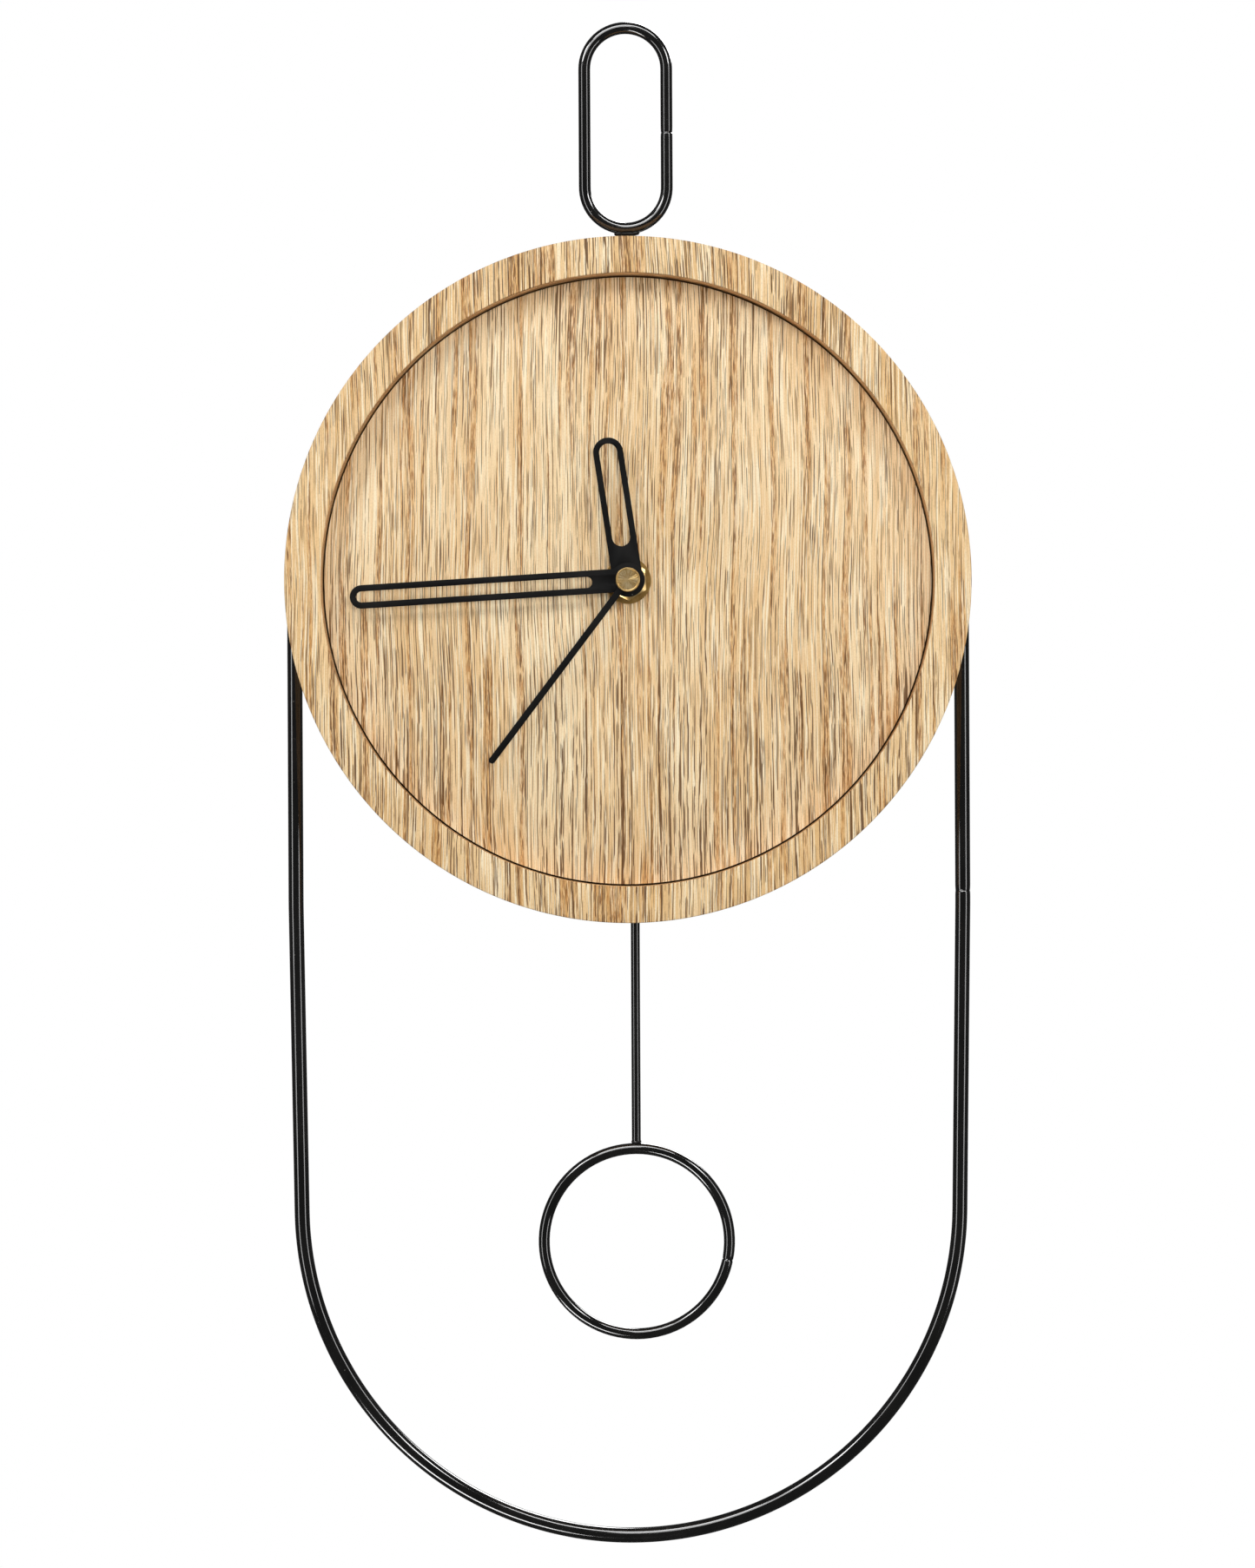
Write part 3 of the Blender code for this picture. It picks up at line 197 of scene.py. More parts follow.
def oak(name, seed, pale=(246, 215, 166), honey=(234, 194, 138), wrapped=False, deepen=0.0):
    """Lacquered oak veneer: pores, ring-porous bands, cream streaks and fine fibre.

    The grain runs up the clock, or round it where the veneer is wrapped on an edge."""
    g = Graph(name, IOR=1.5)
    x, y, z = g.split(g.place)
    if wrapped:
        turn = g.maths("ARCTAN2", g.maths("SUBTRACT", z, SHAFT_Z), x)
        across = g.times(y, 1 / MM)
        along = g.times(turn, 125.0)
    else:
        across = g.times(x, 1 / MM)
        along = g.times(z, 1 / MM)
    plane = g.join(across, along, 0.0)
    drift = g.noise(g.scaled(plane, (0.016, 0.008, 0), (seed, 3.1, 0)), 1.0, flat=True)
    ripple = g.noise(g.scaled(plane, (0.13, 0.022, 0), (seed, 8.3, 0)), 2.0, flat=True)
    bend = g.maths("MULTIPLY_ADD", drift, 6.0, across)
    grain = g.join(g.maths("MULTIPLY_ADD", ripple, 0.9, bend), along, 0.0)

    def streaked(scale, shift, detail, rough, low, high, kind="SMOOTHSTEP"):
        vector = g.scaled(grain, (*scale, 0), (seed + shift, seed - shift, 0))
        return g.fit(g.noise(vector, detail, rough, True), low, high, kind=kind)

    def pores(width, length, shift, kept, longest, edge):
        vector = g.scaled(grain, (1 / width, 1 / length, 0), (seed * 1.7 + shift, shift, 0))
        distance, chance = g.cells(vector, True)
        reach = g.fit(chance, 1 - kept, 1.0, 0.0, longest)
        gap = g.maths("SUBTRACT", reach, distance)
        return g.maths("DIVIDE", gap, edge, clamp=True)

    tone = streaked((0.045, 0.005), 1.3, 2.0, 0.5, 0.34, 0.66)
    fibre = streaked((3.4, 0.050), 2.9, 5.0, 0.70, 0.36, 0.70)
    cream = streaked((1.7, 0.022), 4.7, 3.0, 0.60, 0.50, 0.62)
    dense = streaked((0.27, 0.0046), 6.1, 2.0, 0.55, 0.545, 0.61)
    broken = streaked((0.60, 0.026), 7.7, 2.0, 0.5, 0.30, 0.52)
    band = g.times(dense, broken)
    streak = g.times(streaked((2.6, 0.17), 9.1, 4.0, 0.66, 0.47, 0.56), band)
    short = g.times(pores(0.46, 6.5, 5.5, 0.95, 0.50, 0.16), band)
    long_pores = pores(0.60, 40.0, 0.4, 0.42, 0.30, 0.07)
    fine_pores = pores(0.48, 24.0, 2.6, 0.42, 0.32, 0.09)
    more_pores = pores(0.72, 30.0, 7.2, 0.36, 0.27, 0.06)
    pore = g.maths("MAXIMUM", g.maths("MAXIMUM", long_pores, fine_pores), more_pores)
    rows = streaked((2.3, 0.0040), 11.3, 0.0, 0.5, 0.655, 0.710)
    cells = streaked((1.30, 0.080), 12.9, 2.0, 0.5, 0.45, 0.52)
    more_rows = streaked((1.9, 0.0050), 14.1, 0.0, 0.5, 0.685, 0.740)
    more_cells = streaked((1.10, 0.060), 15.7, 2.0, 0.5, 0.44, 0.51)
    vessels = g.maths("MAXIMUM", g.times(rows, cells), g.times(more_rows, more_cells))
    pore = g.maths("MAXIMUM", pore, vessels)
    speckle = g.grit((2400, 2400, 1500), 2.0, 0.7)

    shade = g.mix(tone, pale, honey)
    for field, amount, colour in ((fibre, 0.40, (186, 138, 82)), (cream, 0.75, (255, 243, 212)),
            (band, 0.42, (218, 164, 88)), (streak, 0.66, (172, 106, 38)),
            (short, 0.85, (104, 62, 22)), (pore, 0.92, (92, 57, 22))):
        shade = g.mix(g.times(field, amount), shade, colour)
    shade = g.tint(shade, speckle, 0.50, 0.72, 0.24, (150, 104, 56))
    if deepen:
        shade = g.mix(deepen, shade, (244, 184, 92), "MULTIPLY")
    g.colour(shade)
    g.rough(g.fit(pore, 0.0, 1.0, 0.44, 0.72))
    sunk = g.maths("MULTIPLY_ADD", short, 0.5, pore)
    g.bump(g.maths("MULTIPLY_ADD", fibre, 0.25, sunk), 0.06 * MM, 0.55)
    g.surface.inputs["Specular IOR Level"].default_value = 0.35
    return g.material


def veneer_core(name, unshaded_share=1.0):
    """Fibreboard behind the veneer: a brown felt of short fibres, raw, or mixed towards near black
    as painted shade for the gap round the dial.
    """
    g = Graph(name, IOR=1.45)
    fine = g.grit((2600, 1500, 1500), 3.0, 0.65)
    patch = g.grit(60, 3.0, 0.5)
    speck = g.grit(700, 2.0, 0.7)
    shade = g.blend(fine, 0.35, 0.66, (206, 172, 130), (172, 134, 94))
    shade = g.tint(shade, speck, 0.62, 0.70, 0.5, (112, 80, 50))
    shade = g.tint(shade, patch, 0.40, 0.66, 0.35, (188, 148, 102))
    # painted shade: below 1 the fibreboard's colour is mixed towards near black, standing in for
    # the shadow in the gap between dial and ring
    if unshaded_share < 1:
        shade = g.mix(1 - unshaded_share, shade, (30, 20, 12))
    g.colour(shade)
    return g.done(fine, 0.78, 0.92, fine, 0.06, 0.6)


# ---- metal, plastic and the rest

def black_paint(name, base, sheen_low, sheen_high, peel, gloss=0.28, dust=0.05, coat=0.0):
    """Black paint on metal: orange peel, faint wipe marks and a few caught specks of dust."""
    g = Graph(name, IOR=1.5, Specular_IOR_Level=gloss, Coat_Weight=coat, Coat_IOR=1.75,
            Coat_Roughness=0.06)
    skin = g.grit(600, 2.0, 0.5)
    patch = g.grit((70, 70, 40), 3.0, 0.6)
    distance, chance = g.cells(g.scaled(g.place, (620, 620, 620)))
    caught = g.fit(chance, 1 - dust, 1.0, 0.0, 0.20)
    speck = g.maths("DIVIDE", g.maths("SUBTRACT", caught, distance), 0.10, clamp=True)
    shade = g.blend(patch, 0.38, 0.66, (base, base, base), (base + 12, base + 11, base + 10))
    g.colour(g.mix(g.times(speck, 0.55), shade, (120, 116, 110)))
    rough = g.fit(patch, 0.35, 0.68, sheen_low, sheen_high)
    g.rough(g.maths("MULTIPLY_ADD", speck, 0.25, rough))
    g.bump(g.maths("MULTIPLY_ADD", speck, 0.8, skin), peel * MM, 0.5)
    return g.material


def turned_brass(name, gold, pale, rough, rings, rays=0.0):
    """Machined brass: fine lathe rings or, on a faced end, rays from the centre."""
    g = Graph(name, Metallic=0.72)
    x, y, z = g.split(g.place)
    up = g.maths("SUBTRACT", z, SHAFT_Z)
    radius = g.maths("SQRT", g.maths("ADD", g.times(x, x), g.times(up, up)))
    turn = g.maths("ARCTAN2", up, x)
    ring = g.noise(g.join(g.times(radius, rings), g.times(y, 4000.0), 0.0),
            3.0, 0.6, True)
    ray = g.noise(g.join(g.maths("COSINE", turn), g.maths("SINE", turn), 0.0), 1.0)
    spokes = g.join(g.times(turn, 6.0), g.times(radius, 300.0), 0.0)
    spoke = g.noise(spokes, 4.0, 0.7, True)
    unshaded_share = g.grit(320, 3.0, 0.6)
    worn = g.blend(unshaded_share, 0.35, 0.68, gold, pale)
    worn = g.tint(worn, ring, 0.56, 0.72, 0.35, (120, 84, 34))
    if rays:
        worn = g.tint(worn, spoke, 0.50, 0.62, 0.6, (150, 104, 44))
    g.colour(worn)
    g.rough(g.fit(g.maths("ADD", ring, ray), 0.6, 1.4, rough * 0.7, rough * 1.4))
    g.bump(g.maths("MULTIPLY_ADD", spoke, rays, ring), 0.02 * MM, 0.5)
    return g.material


def zinc(name, tint, rough):
    """Bright zinc or nickel plating with faint clouding and fine scratches."""
    g = Graph(name, Metallic=1.0)
    cloud = g.grit(260, 4.0, 0.6)
    scratch = g.grit((6000, 500, 900), 3.0, 0.6)
    shade = g.blend(cloud, 0.36, 0.66, tint, lighter(tint, 26))
    g.colour(g.tint(shade, scratch, 0.60, 0.70, 0.4, (96, 96, 98)))
    return g.done(cloud, rough, rough + 0.18, scratch, 0.015, 0.4)


def moulded(name, tone, lift, rough, grain=1800, depth=0.03, subsurface=0.0):
    """Injection moulded plastic: spark-eroded texture, flow clouding and light scuffs."""
    g = Graph(name, IOR=1.5, Subsurface_Weight=subsurface, Subsurface_Scale=MM)
    fine = g.grit(grain, 3.0, 0.6)
    flow = g.grit((45, 45, 70), 4.0, 0.6)
    scuff = g.grit((300, 300, 2600), 4.0, 0.7)
    shade = g.blend(flow, 0.35, 0.68, tone, lighter(tone, lift))
    shade = g.tint(shade, fine, 0.55, 0.72, 0.35, tuple(c * 0.7 for c in tone))
    g.colour(g.tint(shade, scuff, 0.66, 0.74, 0.4, lighter(tone, 2.2 * lift)))
    return g.done(flow, rough - 0.06, rough + 0.10, fine, depth, 0.6)


def rubber(name):
    g = Graph(name, IOR=1.5)
    fine = g.grit(2200, 3.0, 0.7)
    bloom = g.grit(180, 3.0, 0.6)
    shade = g.blend(bloom, 0.4, 0.7, (34, 33, 32), (58, 56, 54))
    g.colour(g.tint(shade, fine, 0.6, 0.75, 0.4, (20, 20, 20)))
    return g.done(bloom, 0.72, 0.88, fine, 0.04, 0.5)


def laminations(name):
    """Stamped sheets of soft iron, stacked: fine lines across the edge, oiled faces."""
    g = Graph(name, Metallic=1.0)
    y = g.split(g.place)[1]
    sheet = g.maths("SINE", g.times(y, 2 * pi / (0.35 * MM)))
    oil = g.grit(220, 4.0, 0.65)
    shade = g.blend(oil, 0.35, 0.68, (118, 116, 112), (160, 158, 152))
    g.colour(g.tint(shade, sheet, 0.5, 1.0, 0.45, (62, 58, 54)))
    return g.done(oil, 0.30, 0.52, sheet, 0.02, 0.6)


def enamelled_wire(name):
    """Layers of varnished copper wire: close turns, a few strays."""
    g = Graph(name, Metallic=0.85)
    warp = g.grit(300, 2.0, 0.5)
    x, y = g.split(g.place)[:2]
    turns = g.maths("ADD", g.times(x, 9000.0), g.times(warp, 9.0))
    wire = g.maths("SINE", g.maths("ADD", turns, g.times(y, 7000.0)))
    shade = g.blend(wire, -0.4, 0.9, (96, 40, 16), (206, 112, 58))
    g.colour(g.tint(shade, warp, 0.55, 0.72, 0.5, (150, 66, 26)))
    return g.done(warp, 0.24, 0.42, wire, 0.03, 0.8)


def circuit_resin(name):
    """Green solder mask over copper tracks, with tinned pads."""
    g = Graph(name, IOR=1.5)
    distance, chance = g.cells(g.scaled(g.place, (420, 420, 420)))
    track = g.fit(g.add("TexBrick", {"Vector": g.scaled(g.place, (160, 160, 160)), "Scale": 1.0,
            "Mortar Size": 0.035}).outputs["Fac"], 0.3, 0.7)
    weave = g.grit(1500, 2.0, 0.5)
    shade = g.mix(track, (18, 74, 44), (34, 108, 64))
    shade = g.tint(shade, weave, 0.4, 0.7, 0.4, (12, 54, 34))
    pad = g.times(g.fit(distance, 0.16, 0.12), g.fit(chance, 0.70, 0.72))
    g.colour(g.mix(pad, shade, (206, 204, 196)))
    g.rough(g.fit(pad, 0.0, 1.0, 0.34, 0.20))
    g.bump(track, 0.02 * MM, 0.6)
    return g.material


def cell_sleeve(name, low_x, high_x):
    """Printed foil round an AA cell: a dark body, a copper-coloured shoulder at the plus end."""
    g = Graph(name, IOR=1.5, Metallic=0.55)
    part = g.fit(g.split(g.place)[0], low_x, high_x)
    fold = g.grit((900, 120, 120), 3.0, 0.5)
    rub = g.grit((140, 900, 900), 4.0, 0.65)
    shade = g.blend(part, 0.755, 0.765, (26, 30, 34), (186, 116, 62))
    for low, high in ((0.955, 0.958), (0.042, 0.039)):
        shade = g.tint(shade, part, low, high, 1.0, (196, 196, 194))
    g.colour(g.tint(shade, rub, 0.58, 0.74, 0.35, (128, 126, 122)))
    return g.done(rub, 0.20, 0.36, fold, 0.03, 0.4)


def ferrite(name):
    """Sintered magnet: dull charcoal with tiny pits and ground faces."""
    g = Graph(name, IOR=1.6, Metallic=0.3)
    grain = g.grit(2600, 4.0, 0.7)
    ground = g.grit((400, 5000, 400), 2.0, 0.6)
    shade = g.blend(grain, 0.35, 0.68, (40, 40, 42), (78, 76, 74))
    g.colour(g.tint(shade, ground, 0.6, 0.72, 0.4, (108, 106, 104)))
    return g.done(grain, 0.48, 0.70, grain, 0.03, 0.5)


cell_low, cell_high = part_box("battery_cell")
LOOKS = {
    "black_steel": black_paint("painted_steel", 6, 0.10, 0.17, 0.004, 0.70, 0.08, 1.0),
    "oak_ring": oak("oak_ring_veneer", 11.0, (245, 212, 160), (234, 194, 136)),
    "oak_dial": oak("oak_dial_veneer", 47.0, (251, 224, 178), (241, 206, 154)),
    "black_hands": black_paint("painted_hands", 9, 0.50, 0.66, 0.02, 0.14, 0.03),
    "brass": turned_brass("machined_brass", (222, 182, 112), (242, 214, 154), 0.20, 9000.0),
    "rubber": rubber("black_rubber"),
    "case_plastic": moulded("black_abs", (26, 26, 27), 14, 0.46),
    "gear_plastic": moulded("white_acetal", (226, 224, 214), 12, 0.36, 900, 0.01, 0.15),
    "knob_plastic": moulded("dark_acetal", (30, 30, 32), 16, 0.38, 1200),
    "zinc_steel": zinc("zinc_plate", (176, 178, 180), 0.24),
    "soft_iron": laminations("soft_iron_sheets"),
    "copper_wire": enamelled_wire("enamelled_copper"),
    "board_resin": circuit_resin("circuit_laminate"),
    "chip_resin": moulded("potting_resin", (20, 20, 22), 14, 0.30, 700, 0.04),
    "magnet_ferrite": ferrite("sintered_ferrite"),
    "battery_sleeve": cell_sleeve("battery_foil", cell_low.x, cell_high.x),
    "nickel_plate": zinc("nickel_plating", (190, 184, 172), 0.18),
}
CORE = veneer_core("fibreboard")
# painted shade: near-black fibreboard on the ring's shoulder and the dial's edge, where the gap
# between dial and ring lies in shadow
GAP_SHADE = veneer_core("painted_gap_shade", 0.12)
EDGE = oak("oak_edge_band", 83.0, wrapped=True, deepen=0.45)
CAP_FACE = turned_brass("faced_brass", (226, 188, 120), (246, 222, 170), 0.20, 5000.0, rays=0.6)
WASHER_BRASS = turned_brass("stamped_brass", (158, 122, 62), (190, 152, 88), 0.32, 14000.0)
WELD = black_paint("painted_weld", 22, 0.34, 0.52, 0.06)

for part in frame["record"]["subparts"]:
    for slot in frame["nodes"][part["node"]].material_slots:
        slot.material = LOOKS[part["material_slot"]]


# ---- mesh building

def placed(name, data):
    """A new object in the scene."""
    made = bpy.data.objects.new(name, data)
    bpy.context.scene.collection.objects.link(made)
    return made


def piece(mesh, slot, *nodes, body=BODY):
    """Adds a mesh as a piece of the clock that rides on a body and stands for CAD nodes.

    The piece is named after its mesh, and a bare mesh gets the look of its slot."""
    if not mesh.materials:
        mesh.materials.append(LOOKS[slot])
    made = placed(mesh.name, mesh)
    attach(made, body)
    if nodes:
        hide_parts(*nodes)
    return made


def baked(name, bm):
    """The mesh built in a bmesh."""
    mesh = bpy.data.meshes.new(name)
    bm.to_mesh(mesh)
    bm.free()
    return mesh


def skinned(name, rings, closed):
    """Mesh of quads between neighbouring rings of points; an open row gets flat ends."""
    sides = len(rings[0])
    points = [point for ring in rings for point in ring]
    faces = []
    for i in range(len(rings) if closed else len(rings) - 1):
        a, b = i * sides, (i + 1) % len(rings) * sides
        for k in range(sides):
            m = (k + 1) % sides
            faces.append((a + k, a + m, b + m, b + k))
    if not closed:
        faces.append(tuple(range(sides)))
        faces.append(tuple(range(len(points) - sides, len(points))))
    mesh = bpy.data.meshes.new(name)
    mesh.from_pydata(points, [], faces)
    return mesh


def finished(mesh, materials=(), picks=None, sharp=SHARP):
    """Gives a mesh its materials, smooth walls and crisp edges."""
    for material in materials:
        mesh.materials.append(material)
    if picks:
        mesh.polygons.foreach_set("material_index", picks)
    bm = bmesh.new()
    bm.from_mesh(mesh)
    bmesh.ops.recalc_face_normals(bm, faces=bm.faces)
    bm.to_mesh(mesh)
    bm.free()
    mesh.shade_smooth()
    mesh.set_sharp_from_angle(angle=radians(sharp))
    return mesh


def eased(corners, radius, steps=3, closed=True):
    """An outline with rounded corners, radius in mm. A corner's third value is its own radius."""
    points = []
    for i, corner in enumerate(corners):
        here = Vector(corner[:2])
        own = (corner[2] if len(corner) > 2 else radius) * MM
        at_end = not closed and i in (0, len(corners) - 1)
        if at_end or own <= 0:
            points.append(tuple(here))
            continue
        before = Vector(corners[i - 1][:2]) - here
        after = Vector(corners[(i + 1) % len(corners)][:2]) - here
        wanted = own / max(tan(before.angle(after) / 2), 0.05)
        reach = min(wanted, 0.45 * before.length, 0.45 * after.length)
        start, end = here + before.normalized() * reach, here + after.normalized() * reach
        for k in range(steps + 1):
            t = k / steps
            points.append(tuple((1 - t) ** 2 * start + 2 * t * (1 - t) * here + t * t * end))
    return points


def arc(radius, start, end, x=0.0, z=0.0, count=None):
    """Points on a circle about (x, z), between two angles in degrees from +X."""
    count = count or max(2, ceil(abs(end - start) / 1.5))
    turns = [radians(start + (end - start) * i / count) for i in range(count + 1)]
    return [(x + radius * cos(t), z + radius * sin(t)) for t in turns]


def circle(radius, x=0.0, z=SHAFT_Z, steps=64):
    return arc(radius, 0, 360, x, z, steps)[:-1]


def turned(name, profile, materials=(), choose=None, centre=(0.0, SHAFT_Z), steps=96,
           sharp=SHARP):
    """A body of revolution about a line along Y. The profile is (radius, y) points in order;
    choose(radius, y) picks the material of the band at a segment's middle."""
    x0, z0 = centre
    closed = all(radius > 0 for radius, _ in profile)
    points, rows = [], []
    for radius, y in profile:
        count = 1 if radius == 0 else steps
        rows.append(list(range(len(points), len(points) + count)))
        for i in range(count):
            t = 2 * pi * i / steps
            points.append((x0 + radius * cos(t), y, z0 + radius * sin(t)))
    faces, picks = [], []
    pairs = len(profile) if closed else len(profile) - 1
    for a in range(pairs):
        b = (a + 1) % len(profile)
        first, second = rows[a], rows[b]
        band = choose((profile[a][0] + profile[b][0]) / 2, (profile[a][1] + profile[b][1]) / 2) \
            if choose else 0
        for i in range(steps):
            j = (i + 1) % steps
            corners = [first[i % len(first)], first[j % len(first)],
                    second[j % len(second)], second[i % len(second)]]
            corner_set = list(dict.fromkeys(corners))
            if len(corner_set) > 2:
                faces.append(corner_set)
                picks.append(band)
    mesh = bpy.data.meshes.new(name)
    mesh.from_pydata(points, [], faces)
    return finished(mesh, materials, picks, sharp)


def pressed(name, outlines, front, back, edge):
    """Sheet metal from outlines in the dial's plane: the first is the rim, the rest are holes."""
    edge *= MM
    curve = bpy.data.curves.new(name, "CURVE")
    curve.dimensions = "2D"
    curve.fill_mode = "BOTH"
    curve.extrude = (back - front) / 2 - edge
    curve.bevel_depth = edge
    curve.bevel_resolution = 1
    curve.offset = -edge
    for i, line in enumerate(outlines):
        area = sum(a[0] * b[1] - b[0] * a[1] for a, b in zip(line, line[1:] + line[:1]))
        ordered = line if (area > 0) == (i == 0) else line[::-1]
        spline = curve.splines.new("POLY")
        spline.points.add(len(ordered) - 1)
        for point, (x, z) in zip(spline.points, ordered):
            point.co = (x, z, 0, 1)
        spline.use_cyclic_u = True
    holder = bpy.data.objects.new(name, curve)
    mesh = bpy.data.meshes.new_from_object(holder)
    bpy.data.objects.remove(holder)
    upright = Matrix.Rotation(pi / 2, 4, "X")
    mesh.transform(Matrix.Translation((0, (front + back) / 2, 0)) @ upright)
    weld_points(mesh, 0.002 * MM)
    mesh.materials.clear()
    return finished(mesh, sharp=50.0)


def weld_points(mesh, distance):
    bm = bmesh.new()
    bm.from_mesh(mesh)
    bmesh.ops.remove_doubles(bm, verts=bm.verts, dist=distance)
    bm.to_mesh(mesh)
    bm.free()


def cut_out(target, cutter_mesh):
    """Takes a cutter's shape out of a piece for good."""
    cutter = placed("cutter", cutter_mesh)
    boolean = target.modifiers.new("cut", "BOOLEAN")
    boolean.operation = "DIFFERENCE"
    boolean.solver = "EXACT"
    boolean.object = cutter
    settle(target).set_sharp_from_angle(angle=radians(SHARP))
    bpy.data.objects.remove(cutter)


def settle(target):
    """Applies a piece's modifiers to its mesh."""
    graph = bpy.context.evaluated_depsgraph_get()
    mesh = bpy.data.meshes.new_from_object(target.evaluated_get(graph))
    target.modifiers.clear()
    target.data = mesh
    return mesh


def ease_edges(target, width, segments=2, sharp=SHARP):
    """Rounds a piece's sharp edges for good, width in mm."""
    ease = target.modifiers.new("ease", "BEVEL")
    ease.width = width * MM
    ease.segments = segments
    ease.limit_method = "ANGLE"
    ease.angle_limit = radians(sharp)
    ease.use_clamp_overlap = True
    mesh = settle(target)
    mesh.shade_smooth()
    mesh.set_sharp_from_angle(angle=radians(sharp))


def even_normals(target):
    """Shades a piece's flat faces flat and lets only its eased edges turn."""
    weights = target.modifiers.new("weights", "WEIGHTED_NORMAL")
    weights.keep_sharp = True
    settle(target)


def block(low, high, name="block"):
    """Closed box mesh, for cutters."""
    bm = bmesh.new()
    bmesh.ops.create_cube(bm, size=1.0)
    for vert in bm.verts:
        vert.co = [low[i] + (vert.co[i] + 0.5) * (high[i] - low[i]) for i in range(3)]
    return baked(name, bm)


def spaced(points, closed, step, seam=None):
    """Even points along a path, drawn together near a seam. Returns points and lengths."""
    line = points + points[:1] if closed else points
    lengths = [0.0]
    for a, b in zip(line, line[1:]):
        lengths.append(lengths[-1] + (b - a).length)
    total = lengths[-1]
    count = round(total / step)
    stops = {round(total * i / count, 9) for i in range(count if closed else count + 1)}
    if seam is not None:
        stops = {s for s in stops if abs(s - seam) > SEAM_REACH}
        half = round(SEAM_REACH / SEAM_STEP)
        stops |= {round(seam + i * SEAM_STEP, 9) for i in range(-half, half + 1)}
    found, index = [], 0
    for s in sorted(stops):
        while index < len(lengths) - 2 and lengths[index + 1] < s:
            index += 1
        t = (s - lengths[index]) / (lengths[index + 1] - lengths[index])
        found.append((line[index].lerp(line[index + 1], t), s))
    return found


def bar(name, node, points, radius, closed=False, seam_at=None, flat_axis=Y_AXIS,
        step=2.4 * MM, sides=24, seed=1.0, body=BODY):
    """Round black bar bent in one plane. seam_at is a point near the butt weld: there the bar has a
    ragged groove, a little ground-off shoulder and a slight mismatch of the two ends."""
    seam = None
    if seam_at is not None:
        coarse = spaced(points, closed, 0.2 * MM)
        seam = min(coarse, key=lambda item: (item[0] - seam_at).length)[1]
    path = spaced(points, closed, step, seam)
    rings = []
    count = len(path)
    for i, (here, s) in enumerate(path):
        before = path[i - 1][0] if closed or i > 0 else here
        after = path[(i + 1) % count][0] if closed or i < count - 1 else here
        tangent = (after - before).normalized()
        side = tangent.cross(flat_axis).normalized()
        ring = []
        for k in range(sides):
            t = 2 * pi * k / sides
            out = side * cos(t) + flat_axis * sin(t)
            reach = radius
            if seam is not None:
                reach -= seam_depth(s - seam, out, seed)
            ring.append(here + out * reach)
        rings.append(ring)
    if not closed:
        first, last = path[0][0], path[-1][0]
        start = (first - path[1][0]).normalized()
        end = (last - path[-2][0]).normalized()
        rings = domed(rings[0], first, start, radius)[::-1] + rings[1:-1] + \
            domed(rings[-1], last, end, radius)
    mesh = finished(skinned(name, rings, closed), sharp=60.0)
    piece(mesh, "black_steel", node, body=body)


def domed(ring, centre, outward, radius, steps=3):
    """Rings that close a bar's sawn end with an eased edge."""
    ease = 0.25 * radius
    made = []
    for i in range(steps + 1):
        t = pi / 2 * i / steps
        shrink = (radius - ease * (1 - cos(t))) / radius
        back = outward * ease * (1 - sin(t))
        made.append([centre + (point - centre) * shrink - back for point in ring])
    return made


def seam_depth(offset, out, seed):
    """How far a butt weld's surface lies below the bar's, around the seam."""
    ragged = noise.fractal(out * 2.6 + Vector((seed, 0, 0)), 1.0, 2.0, 3)
    shift = offset - 0.22 * MM * ragged
    groove = (0.20 + 0.26 * ragged) * MM * exp(-(shift / (0.22 * MM)) ** 2)
    ground = 0.05 * MM * exp(-(offset / (1.1 * MM)) ** 2)
    step = 0.05 * MM if offset > 0 else 0.0
    fade = max(0.0, 1 - abs(offset) / SEAM_REACH)
    return groove + ground + step * fade


def lump(name, centre, size, seed, body=BODY):
    """A small run of weld metal: a rounded, uneven bead, size in mm."""
    bm = bmesh.new()
    bmesh.ops.create_icosphere(bm, subdivisions=4, radius=1.0)
    for vert in bm.verts:
        point = vert.co.normalized()
        rise = noise.fractal(point * 1.9 + Vector((seed, 0, 0)), 1.0, 2.0, 3)
        swell = 1 - 0.16 * (0.5 + 0.5 * rise)
        vert.co = Vector([centre[i] + point[i] * (size[i] * MM) * swell for i in range(3)])
    piece(finished(baked(name, bm), [WELD]), "black_steel", body=body)


def refined(name, node, width, slot, body=BODY, segments=2, sharp=SHARP):
    """A CAD solid with its arrises eased, as moulded or ground pieces have, width in mm."""
    mesh = frame["nodes"][node].data.copy()
    mesh.name = name
    weld_points(mesh, 0.002 * MM)
    mesh.materials.clear()
    made = piece(mesh, slot, node, body=body)
    planar = made.modifiers.new("planar", "DECIMATE")
    planar.decimate_type = "DISSOLVE"
    planar.angle_limit = radians(1.0)
    ease_edges(made, width, segments, sharp)
    even_normals(made)


# ---- the oak disc

ring_low, ring_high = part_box("wood_ring")
dial_low, dial_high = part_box("dial_plate")
DISC_RADIUS = (ring_high.x - ring_low.x) / 2
DISC_FRONT, DISC_BACK = ring_low.y, ring_high.y
DIAL_RADIUS = (dial_high.x - dial_low.x) / 2
DIAL_FRONT, DIAL_BACK = dial_low.y, dial_high.y
BORE_RADIUS = DIAL_RADIUS + 0.6 * MM
SHOULDER_RADIUS = 102.5 * MM
NOTCH_HALF, NOTCH_DEPTH = 16 * MM, 5.5 * MM
DIAL_PLATE_HOLE = 4.25 * MM
PENDULUM_X = middle("pendulum_rod").x


